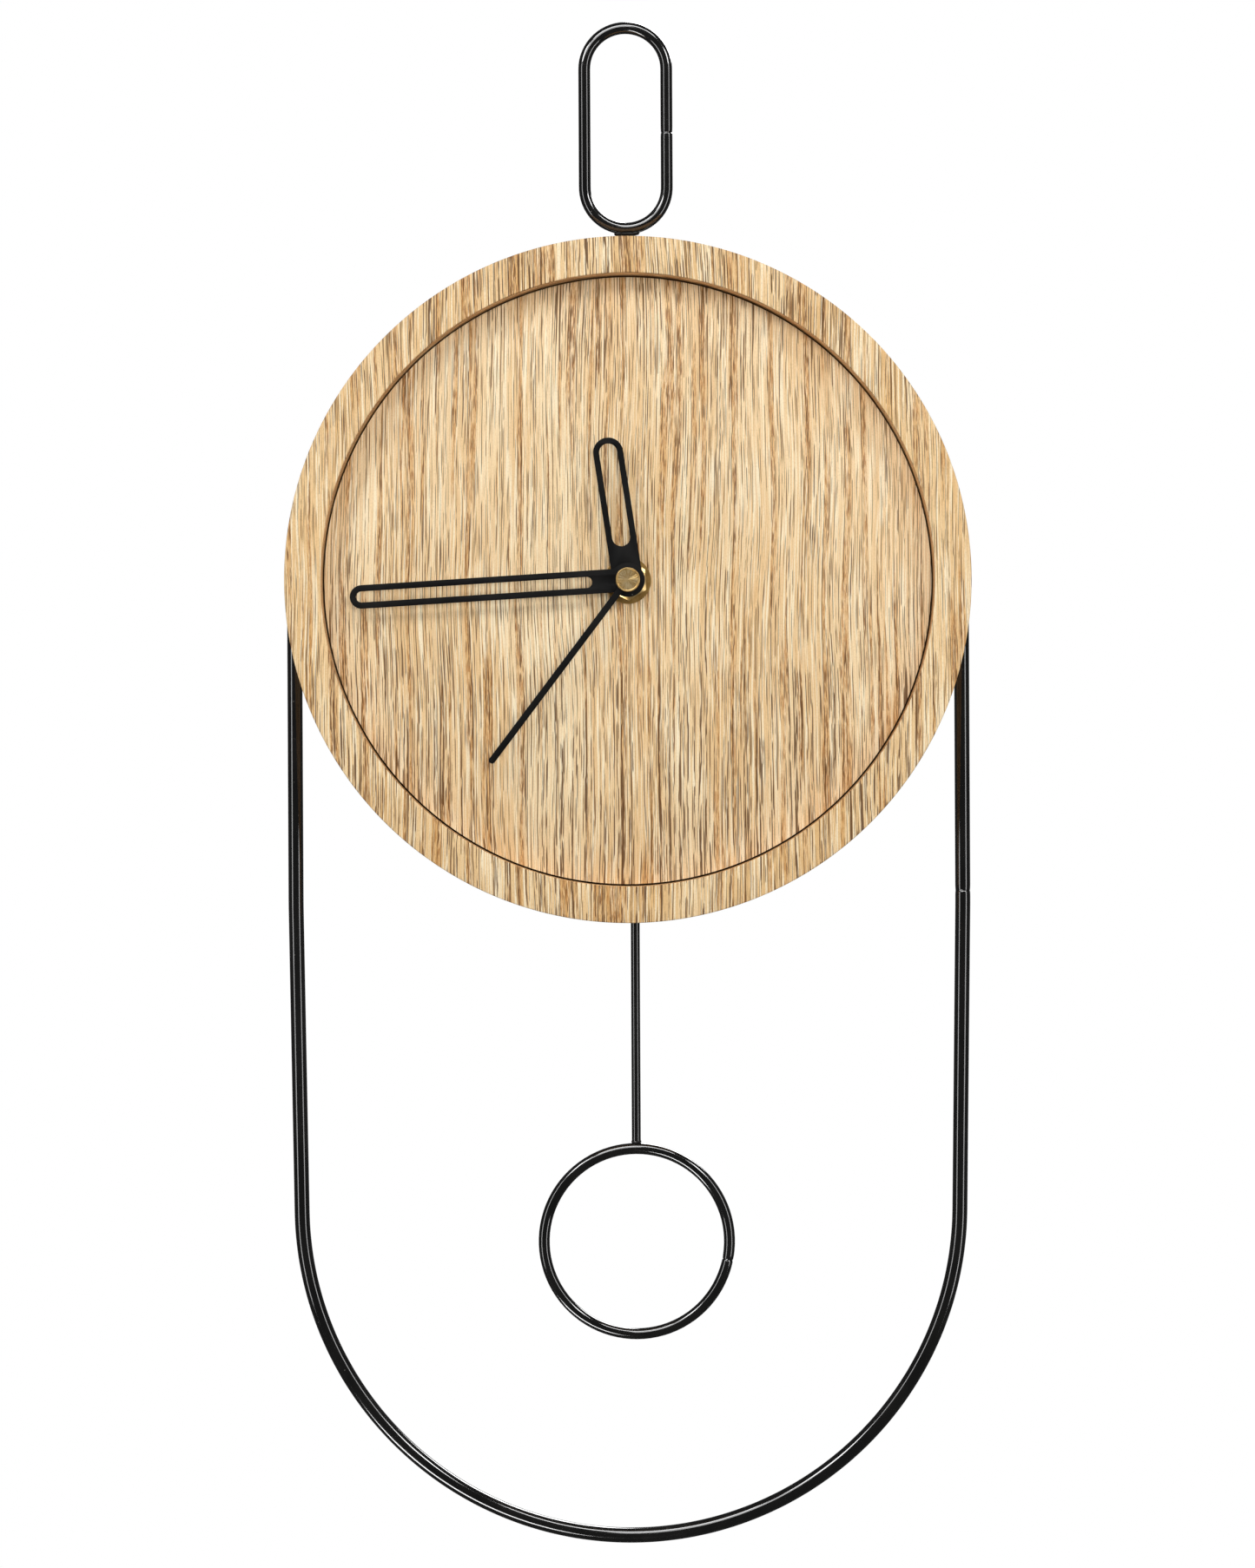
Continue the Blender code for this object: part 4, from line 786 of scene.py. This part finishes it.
def disc_pieces():
    """The ring with its stepped bore and the sunk dial plate, veneered in front."""
    profile = eased([(BORE_RADIUS, DISC_FRONT, 0.35), (DISC_RADIUS, DISC_FRONT, 0.5),
            (DISC_RADIUS, DISC_BACK, 0.4), (SHOULDER_RADIUS, DISC_BACK, 0.4),
            (SHOULDER_RADIUS, DIAL_BACK + 0.3 * MM, 0.2),
            (BORE_RADIUS, DIAL_BACK + 0.3 * MM, 0.2)], 0.4, 4)

    def ring_face(radius, y):
        if y < DISC_FRONT + 0.3 * MM:
            return 0
        bore = BORE_RADIUS - 0.1 * MM < radius < DISC_RADIUS - MM and y < DIAL_BACK
        if bore or radius > DISC_RADIUS - 0.3 * MM:
            return 1
        # index 3, the shoulder just behind the dial, takes the painted gap shade
        return 3 if y < DIAL_BACK + MM else 2

    looks = [LOOKS["oak_ring"], EDGE, CORE, GAP_SHADE]
    mesh = turned("oak_ring", profile, looks, ring_face, steps=288)
    ring = piece(mesh, "oak_ring", "wood_ring")
    bottom, shoulder = SHAFT_Z - DISC_RADIUS, SHAFT_Z - SHOULDER_RADIUS
    low = (PENDULUM_X - NOTCH_HALF, DISC_BACK - NOTCH_DEPTH, bottom - 4 * MM)
    high = (PENDULUM_X + NOTCH_HALF, DISC_BACK + 4 * MM, shoulder + 4 * MM)
    cut_out(ring, block(low, high))
    near = 0.1 * MM
    for face in ring.data.polygons:
        spot = face.center
        in_notch = abs(spot.x - PENDULUM_X) < NOTCH_HALF + near and spot.z < shoulder + MM
        if in_notch and spot.y > DISC_BACK - NOTCH_DEPTH - near:
            outside = hypot(spot.x, spot.z - SHAFT_Z) > DISC_RADIUS - 0.2 * MM
            face.material_index = 1 if outside else 2

    hole = DIAL_PLATE_HOLE
    profile = eased([(hole, DIAL_FRONT, 0.1), (DIAL_RADIUS, DIAL_FRONT, 0.25),
            (DIAL_RADIUS, DIAL_BACK, 0.1), (hole, DIAL_BACK, 0.1)], 0.1, 2)

    def dial_face(radius, y):
        if y < DIAL_FRONT + 0.12 * MM and radius > hole + 0.05 * MM:
            return 0
        # the dial's edge (index 2) takes the painted gap shade
        return 2 if radius > DIAL_RADIUS - 0.3 * MM else 1

    mesh = turned("oak_dial", profile, [LOOKS["oak_dial"], CORE, GAP_SHADE], dial_face, steps=288)
    piece(mesh, "oak_dial", "dial_plate")


disc_pieces()


# ---- steel rods

LOWER_RADIUS = 122.2 * MM  # the frame's lower arc, along the bar's middle
BEND_DROP = 121.2 * MM  # from the upper half circle's centre to the legs' bends
FRAME_SEAM_Z = -319.0 * MM
LOOP_SEAM_Z = -36.9 * MM
HOOP_SEAM_TURN = -11.8  # degrees from +X
LOOP_WELDS = ((0.9, 0.1, 3.4, 2.2), (3.4, 0.5, 1.7, 1.5), (-2.6, 0.2, 2.0, 1.6))


def at(points, y):
    return [Vector((x, y, z)) for x, z in points]


def frame_bar():
    """The closed frame: half circle behind the disc, straight legs, leaning legs, lower arc."""
    low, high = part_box("wire_frame")
    radius = (high.y - low.y) / 2
    half = (high.x - low.x) / 2 - radius
    upper_z = high.z - radius - half
    lower_z = low.z + radius + LOWER_RADIUS
    bend_z = upper_z - BEND_DROP
    reach = hypot(half, bend_z - lower_z)
    rise = degrees(atan2(bend_z - lower_z, half))
    touch = rise - degrees(acos(LOWER_RADIUS / reach))
    line = arc(half, 0, 180, 0, upper_z)
    line.append((-half, bend_z))
    line += arc(LOWER_RADIUS, 180 - touch, 360 + touch, 0, lower_z)
    line.append((half, bend_z))
    y = (low.y + high.y) / 2
    weld = Vector((half, y, FRAME_SEAM_Z))
    bar("frame_bar", "wire_frame", at(line, y), radius, True, weld, seed=4.0)


def loop_bar():
    """The hanging loop, and the weld that joins it to the frame's top."""
    low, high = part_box("hanging_loop")
    radius = (high.y - low.y) / 2
    half = (high.x - low.x) / 2 - radius
    top, bottom = high.z - radius - half, low.z + radius + half
    y = (low.y + high.y) / 2
    line = arc(half, 0, 180, 0, top, 45) + arc(half, 180, 360, 0, bottom, 45)
    weld = Vector((half, y, LOOP_SEAM_Z))
    bar("loop_bar", "hanging_loop", at(line, y), radius, True, weld, step=1.6 * MM, seed=9.0)
    for i, (x, rise, wide, deep) in enumerate(LOOP_WELDS):
        lump(f"loop_weld_{i + 1}", (x * MM, y - 0.2 * MM, low.z + rise * MM),
                (wide, deep, 0.95), 3.0 + i)


def pendulum_bars():
    """The pendulum's hooked rod and its ring, welded together."""
    low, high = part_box("pendulum_ring")
    ring_rod = (high.y - low.y) / 2
    ring_radius = (high.z - low.z) / 2 - ring_rod
    x, y, z = (low + high) / 2
    turn = radians(HOOP_SEAM_TURN)
    seam = Vector((x + ring_radius * cos(turn), y, z + ring_radius * sin(turn)))
    line = arc(ring_radius, 90, 450, x, z)[:-1]
    bar("pendulum_hoop", "pendulum_ring", at(line, y), ring_rod, True, seam, seed=6.0,
        body="pendulum_body")

    rod_low, rod_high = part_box("pendulum_rod")
    rod = (rod_high.x - rod_low.x) / 2
    hook = (rod_high.y - rod_low.y) / 2 - rod
    hook_y, hook_z = (rod_low.y + rod_high.y) / 2, rod_high.z - rod - hook
    line = [Vector((x, hook_y - hook, hook_z - 3.5 * MM))]
    for i in range(25):
        t = pi - pi * i / 24
        line.append(Vector((x, hook_y + hook * cos(t), hook_z + hook * sin(t))))
    line.append(Vector((x, hook_y + hook, rod_low.z)))
    bar("pendulum_bar", "pendulum_rod", line, rod, flat_axis=Vector((1, 0, 0)),
        step=0.9 * MM, sides=20, body="pendulum_body")
    lump("pendulum_weld", (x, y, rod_low.z + 0.1 * MM), (2.0, 1.8, 1.1), 12.0,
         body="pendulum_body")


frame_bar()
loop_bar()
pendulum_bars()


# ---- hands and their hub

HOUR_TURN, MINUTE_TURN, SECOND_TURN = 351.5, 266.6, 217.2  # degrees clockwise from twelve
NUT_CORNER = 7.5 * MM
NUT_TURN = -88.0  # degrees, where its first corner points
BUSH_HOLE = 4.3 * MM


def clockwise(points, turn):
    """Points given along a hand at twelve, turned clockwise round the shaft."""
    c, s = cos(radians(turn)), sin(radians(turn))
    return [(x * c + z * s, SHAFT_Z - x * s + z * c) for x, z in points]


def hub_curve(half, hub, steps=56):
    """The round boss of a hand, open where the blade leaves it."""
    lean = degrees(asin(half / hub))
    return arc(hub, 90 + lean, 450 - lean, count=steps)


def slotted_hand(word, turn, length, half, stroke, slot_start, bore):
    """The hour or the minute hand, from its turn and its measures in mm."""
    low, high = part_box(f"{word}_hand")
    tip, half, inner = (length - half) * MM, half * MM, half * MM - stroke * MM
    outline = arc(half, 0, 180, 0, tip, 20) + hub_curve(half, 6.2 * MM)
    top = arc(inner, 0, 180, 0, tip, 20)
    slot = top + [(-x, slot_start * MM + inner - (z - tip)) for x, z in top]
    lines = [clockwise(outline, turn), clockwise(slot, turn), circle(bore * MM)]
    mesh = pressed(f"{word}_pointer", lines, low.y, high.y, 0.09)
    piece(mesh, "black_hands", f"{word}_hand", body=f"{word}_hand_body")


def hub_pieces():
    """The three hands and the brass cap."""
    slotted_hand("hour", HOUR_TURN, 52.5, 5.5, 2.2, 12.5, 2.8)
    slotted_hand("minute", MINUTE_TURN, 101.5, 4.3, 2.3, 13.0, 1.9)
    low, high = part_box("second_hand")
    outline = arc(1.2 * MM, 0, 180, 0, 82.3 * MM, 10) + hub_curve(1.2 * MM, 3.0 * MM, 40)
    lines = [clockwise(outline, SECOND_TURN), circle(1.3 * MM)]
    mesh = pressed("second_pointer", lines, low.y, high.y, 0.09)
    piece(mesh, "black_hands", "second_hand", body="second_hand_body")

    low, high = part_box("second_hand_cap")
    face, rim = low.y + 0.35 * MM, (high.x - low.x) / 2
    dish = rim - 0.75 * MM
    profile = eased([(dish, face), (rim - 0.62 * MM, face), (rim - 0.52 * MM, low.y, 0.15),
            (rim - 0.12 * MM, low.y, 0.12), (rim, low.y + 0.2 * MM, 0.1),
            (rim, low.y + 1.2 * MM, 0.15), (1.0 * MM, low.y + 1.2 * MM, 0.1),
            (1.0 * MM, high.y)], 0.1, 3, closed=False)
    profile += [(0.75 * MM, high.y), (0.75 * MM, low.y + 1.0 * MM), (0, low.y + 1.0 * MM)]
    mesh = turned("brass_cap", profile, sharp=28.0)
    piece(mesh, "brass", "second_hand_cap", body="second_hand_body")
    piece(coined_rays(dish + 0.02 * MM, face), "brass", body="second_hand_body")


def coined_rays(radius, y, rays=56, depth=0.045 * MM):
    """The cap's dished face, coined with fine rays of uneven depth."""
    pick = random.Random(5)
    bm = bmesh.new()
    centre = bm.verts.new((0, y + 0.02 * MM, SHAFT_Z))
    under = bm.verts.new((0, y + 0.5 * MM, SHAFT_Z))
    inner, outer, back = [], [], []
    for i in range(rays):
        t = 2 * pi * i / rays
        lift = (depth if i % 2 else -depth) * pick.uniform(0.25, 1.0)
        for ring, reach, rise in ((inner, 0.35 * radius, 0.4 * lift), (outer, radius, lift),
                (back, radius, 0.5 * MM)):
            place = (reach * cos(t), y + rise, SHAFT_Z + reach * sin(t))
            ring.append(bm.verts.new(place))
    for i in range(rays):
        j = (i + 1) % rays
        bm.faces.new((centre, inner[j], inner[i]))
        bm.faces.new((inner[i], inner[j], outer[j], outer[i]))
        bm.faces.new((outer[i], outer[j], back[j], back[i]))
        bm.faces.new((back[i], back[j], under))
    return finished(baked("cap_rays", bm), [CAP_FACE], sharp=4.0)


def nut_and_washer(steps=144):
    """Brass hex nut with turned chamfers on both faces, and the washer under it."""
    low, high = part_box("fixing_nut")
    flat = NUT_CORNER * cos(pi / 6)
    chamfer = flat * 0.945
    bore = min(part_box("threaded_bush")[1].x + 0.3 * MM, BUSH_HOLE)
    columns = []
    for i in range(steps):
        t = 2 * pi * i / steps
        from_corner = (t - radians(NUT_TURN)) % (pi / 3)
        reach = flat / cos(from_corner - pi / 6)
        drop = max(0.0, reach - chamfer) * tan(radians(28))
        column = [(bore, low.y + 0.3 * MM), (bore + 0.3 * MM, low.y), (min(chamfer, reach), low.y),
                (reach, low.y + drop + 0.05 * MM), (reach, high.y - drop - 0.05 * MM),
                (min(chamfer, reach), high.y), (bore, high.y)]
        columns.append([(r * cos(t), y, SHAFT_Z + r * sin(t)) for r, y in column])
    mesh = finished(skinned("hex_nut", columns, True), sharp=24.0)
    piece(mesh, "brass", "fixing_nut")

    low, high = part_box("fixing_washer")
    outer = (high.x - low.x) / 2
    profile = eased([(BUSH_HOLE, low.y), (outer, low.y, 0.12), (outer, high.y, 0.12),
            (BUSH_HOLE, high.y)], 0.08, 3)
    piece(turned("brass_washer", profile, [WASHER_BRASS]), "brass", "fixing_washer")


hub_pieces()
nut_and_washer()


# ---- back of the clock

TAB_TURNS = {"upper": radians(42.0), "lower": 0.0}
TAB_BEADS = (-4.6, -2.3, 0.0, 2.3, 4.6)  # mm along a tab's end
BEAD_RADIUS = 1.35 * MM


def bead_row(name, centres, seed):
    """A short run of weld beads laid side by side."""
    bm = bmesh.new()
    for k, centre in enumerate(centres):
        made = bmesh.ops.create_icosphere(bm, subdivisions=3, radius=1.0)
        for vert in made["verts"]:
            point = vert.co.normalized()
            swell = 1 - 0.2 * (0.5 + 0.5 * noise.noise(point * 2.1 + Vector((seed + 3 * k, 0, 0))))
            vert.co = centre + point * BEAD_RADIUS * swell
    piece(finished(baked(name, bm), [WELD]), "black_steel")


def cross_screw(name, node, head_height, shank, turn):
    """A pan head screw with a cross recess and a tapered point."""
    low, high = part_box(node)
    x, z = (low.x + high.x) / 2, (low.z + high.z) / 2
    head = (high.x - low.x) / 2
    seat = high.y - head_height
    profile = [(0, high.y), (0.45 * head, high.y - 0.04 * head_height),
            (0.78 * head, high.y - 0.22 * head_height),
            (0.97 * head, high.y - 0.55 * head_height),
            (head, high.y - 0.78 * head_height), (head, seat), (shank, seat),
            (shank, low.y + 2.2 * shank), (0.35 * shank, low.y + 0.3 * shank), (0, low.y)]
    mesh = turned(name, profile, centre=(x, z), steps=56, sharp=40.0)
    made = piece(mesh, "zinc_steel", node)
    for wing in (0.0, pi / 2):
        reach, half, floor = 0.58 * head, 0.12 * head, high.y - 0.62 * head_height
        cross = block((-reach, floor, -half), (reach, high.y + head_height, half))
        cross.transform(Matrix.Translation((x, 0, z)) @ Matrix.Rotation(turn + wing, 4, "Y"))
        cut_out(made, cross)


def tab_pieces():
    """The four tabs, welded to the bar by their outer ends, and their wood screws."""
    for row, turn in TAB_TURNS.items():
        for side, word in ((-1, "left"), (1, "right")):
            node = f"mounting_tab_{row}_{word}"
            refined(f"tab_{row}_{word}", node, 0.3, "black_steel")
            outward = Vector((side * cos(turn), 0, sin(turn)))
            across = Vector((-outward.z, 0, outward.x))
            verts = frame["nodes"][node].data.vertices
            reach = max(vert.co.dot(outward) for vert in verts)
            screw = middle(f"tab_screw_{row}_{word}")
            edge = screw + outward * (reach + 0.35 * MM - screw.dot(outward))
            edge.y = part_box(node)[1].y - 0.35 * MM
            centres = [edge + across * step * MM for step in TAB_BEADS]
            bead_row(f"tab_weld_{row}_{word}", centres, 4.0 * turn + side)
            cross_screw(f"wood_screw_{row}_{word}", f"tab_screw_{row}_{word}",
                        2.0 * MM, 1.6 * MM, 0.5 + 1.3 * turn + 0.7 * side)


def fluted_knob():
    """The hand setting knob: fluted grip, dished face and a raised bar to turn it by."""
    low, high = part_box("setting_knob")
    centre = middle("setting_knob")
    rim = (high.x - low.x) / 2
    profile = [(0.0, high.y - 0.55 * MM, 0), (0.60, high.y - 0.55 * MM, 0),
            (0.70, high.y - 0.15 * MM, 0), (0.76, high.y, 0), (0.90, high.y, 0.6),
            (1.0, high.y - 0.25 * MM, 1), (1.0, low.y + 0.2 * MM, 1), (0.94, low.y, 1),
            (0.15, low.y, 0), (0.15, low.y + 0.9 * MM, 0), (0.0, low.y + 0.9 * MM, 0)]
    steps, flutes = 192, 24
    rings = []
    for share, y, ripple in profile:
        ring = []
        for i in range(steps):
            t = 2 * pi * i / steps
            dent = ripple * 0.045 * (0.5 - 0.5 * cos(flutes * t))
            radius = rim * max(share - dent, 0.001)
            ring.append((centre.x + radius * cos(t), y, centre.z + radius * sin(t)))
        rings.append(ring)
    mesh = finished(skinned("fluted_knob", rings, False), sharp=30.0)
    piece(mesh, "knob_plastic", "setting_knob", body="setting_body")
    bar_low = (centre.x - 0.52 * rim, high.y - 0.60 * MM, centre.z - 0.09 * rim)
    bar_high = (centre.x + 0.52 * rim, high.y - 0.05 * MM, centre.z + 0.09 * rim)
    finger = block(bar_low, bar_high, "knob_finger_bar")
    ease_edges(piece(finger, "knob_plastic", body="setting_body"), 0.12)


def rounded_box(x0, x1, z0, z1, radius):
    """Box outline with round corners in the dial's plane."""
    left, right, low, high = x0 + radius, x1 - radius, z0 + radius, z1 - radius
    line = []
    for x, z, start in ((right, high, 0), (left, high, 90), (left, low, 180), (right, low, 270)):
        line += arc(radius, start, start + 90, x, z, 6)
    return line


def raised(name, outlines, height, edge):
    """A flat moulded detail standing on the rear cover, height and eased edge in mm."""
    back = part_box("movement_rear_cover")[1].y
    piece(pressed(name, outlines, back - 0.2 * MM, back + height * MM, edge), "case_plastic")


def movement_pieces():
    """The movement's shells, the details on its rear cover, and the loose pieces round it."""
    refined("case_shell", "movement_case", 0.30, "case_plastic")
    refined("case_cover", "movement_rear_cover", 0.18, "case_plastic")
    low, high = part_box("movement_rear_cover")
    knob = middle("setting_knob")
    bay_low, bay_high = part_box("battery_cell")
    frames = []
    for inset, rise, corner in ((1.0, 2.2, 1.2), (2.0, 0.5, 0.6)):
        frames.append(rounded_box(low.x + inset * MM, high.x - inset * MM, bay_low.z - rise * MM,
                                  bay_high.z + rise * MM, corner * MM))
    raised("bay_frame", frames, 0.35, 0.12)
    collar = [circle(radius * MM, knob.x, knob.z, 72) for radius in (7.4, 6.5)]
    raised("knob_collar", collar, 0.7, 0.12)
    for i in range(5):
        z = low.z + (7.5 + 2.6 * i) * MM
        raised(f"cover_rib_{i + 1}", [rounded_box(-15 * MM, 15 * MM, z, z + 0.9 * MM, 0.4 * MM)],
                0.4, 0.1)
    for i, (x, z) in enumerate(((-20, 14), (20, 14), (-20, 2), (20, -10))):
        raised(f"ejector_mark_{i + 1}", [circle(1.6 * MM, x * MM, SHAFT_Z + z * MM, 40)],
                0.08, 0.03)
    for i in range(1, 5):
        cross_screw(f"case_screw_{i}", f"cover_screw_{i}", 1.2 * MM, 0.9 * MM, 0.4 + 1.1 * i)
    fluted_knob()
    refined("alkaline_cell", "battery_cell", 0.30, "battery_sleeve", segments=3, sharp=25.0)
    for pole in ("positive", "negative"):
        refined(f"contact_{pole}", f"battery_contact_{pole}", 0.08, "nickel_plate")
    refined("swing_arm", "pendulum_arm", 0.22, "gear_plastic", body="pendulum_body")
    refined("bush", "threaded_bush", 0.10, "brass", sharp=25.0)
    refined("rubber_pad", "rubber_washer", 0.20, "rubber")


tab_pieces()
movement_pieces()


# ---- stage

CAMERA_RANGE = 1.400  # lens to the disc's front
PICTURE_HEIGHT = 0.5701  # height seen at the disc's front
CAMERA_X, CAMERA_Z = -0.5 * MM, -278.9 * MM
CAMERA_ROLL = 0.0051
SENSOR = 36.0
FLOOR_DROP = 1.3  # the clock hangs, so the floor is far below it
AMBIENT = 0.20  # light from all round on matt surfaces
SHINE = 0.05  # what shiny surfaces see of it
CENTRE = (cad_low + cad_high) / 2
LAMPS = (
    # name, place (height from the centre), target, size, watts, which surfaces answer it
    ("key", (-0.35, -1.40, 1.05), SHAFT, (0.9, 0.6), 5.3, "both"),
    ("left", (-1.00, -1.00, 0.95), CENTRE, (0.50, 0.50), 7.0, "both"),
    ("right", (1.05, -1.00, 0.85), CENTRE, (0.40, 0.40), 5.0, "both"),
    ("front", (0.30, -1.90, 0.30), SHAFT, (1.0, 0.8), 15.5, "matt"),
    ("strip_left", (-1.25, -0.95, 0.0), CENTRE, (0.30, 1.4), 4.2, "shiny"),
    ("strip_right", (1.25, -0.95, 0.0), CENTRE, (0.30, 1.4), 4.2, "shiny"),
    ("strip_top", (0.0, -0.95, 1.25), CENTRE, (1.4, 0.30), 9.6, "shiny"),
    ("strip_low", (-0.55, -0.75, -1.10), CENTRE, (1.0, 0.22), 6.0, "shiny"),
    ("back", (0.6, 1.5, 1.1), CENTRE, (1.2, 0.8), 24.0, "both"),
)


def lamps():
    """Soft area lights; some answer only on matt or only on shiny surfaces."""
    for name, (x, y, rise), target, (width, height), watts, seen in LAMPS:
        light = bpy.data.lights.new(name, "AREA")
        light.shape = "RECTANGLE"
        light.size, light.size_y = width, height
        light.energy = watts
        lamp = placed(name, light)
        lamp.location = (x, y, CENTRE.z + rise)
        lamp.rotation_euler = (target - lamp.location).to_track_quat("-Z", "Y").to_euler()
        lamp.visible_diffuse = seen != "shiny"
        lamp.visible_glossy = seen != "matt"


def studio():
    """White surround, lamps, the pale floor under the hanging clock, and the camera."""
    scene = bpy.context.scene
    world = bpy.data.worlds.new("studio")
    scene.world = world
    world.use_nodes = True
    tree = world.node_tree
    tree.nodes.clear()
    path = tree.nodes.new("ShaderNodeLightPath")
    output = tree.nodes.new("ShaderNodeOutputWorld")
    shader = None
    for strength, ray in ((AMBIENT, None), (SHINE, "Is Glossy Ray"), (1.0, "Is Camera Ray")):
        layer = tree.nodes.new("ShaderNodeBackground")
        layer.inputs["Color"].default_value = (1.0, 1.0, 1.0, 1.0)
        layer.inputs["Strength"].default_value = strength
        if shader is None:
            shader = layer.outputs[0]
            continue
        mix = tree.nodes.new("ShaderNodeMixShader")
        tree.links.new(path.outputs[ray], mix.inputs[0])
        tree.links.new(shader, mix.inputs[1])
        tree.links.new(layer.outputs[0], mix.inputs[2])
        shader = mix.outputs[0]
    tree.links.new(shader, output.inputs["Surface"])

    lamps()
    bm = bmesh.new()
    bmesh.ops.create_grid(bm, x_segments=2, y_segments=2, size=1.0)
    for vert in bm.verts:
        vert.co = (vert.co.x * 1.6, vert.co.y * 1.6 - 0.3, cad_low.z - FLOOR_DROP)
    floor_mesh = baked("floor", bm)
    g = Graph("pale_floor", IOR=1.45)
    cloud = g.grit(5, 3.0, 0.5)
    g.colour(g.blend(cloud, 0.3, 0.7, (236, 235, 232), (242, 241, 239)))
    g.rough(g.fit(cloud, 0.3, 0.7, 0.75, 0.85))
    floor_mesh.materials.append(g.material)
    floor = placed("floor", floor_mesh)
    floor.visible_glossy = False

    lens = bpy.data.cameras.new("camera")
    lens.sensor_width = SENSOR
    lens.lens = SENSOR * CAMERA_RANGE / PICTURE_HEIGHT
    lens.clip_start, lens.clip_end = 0.05, 20.0
    camera = placed("camera", lens)
    camera.location = (CAMERA_X, DISC_FRONT - CAMERA_RANGE, CAMERA_Z)
    camera.rotation_euler = (pi / 2, CAMERA_ROLL, 0)
    scene.camera = camera
    scene.view_settings.view_transform = "Standard"


studio()
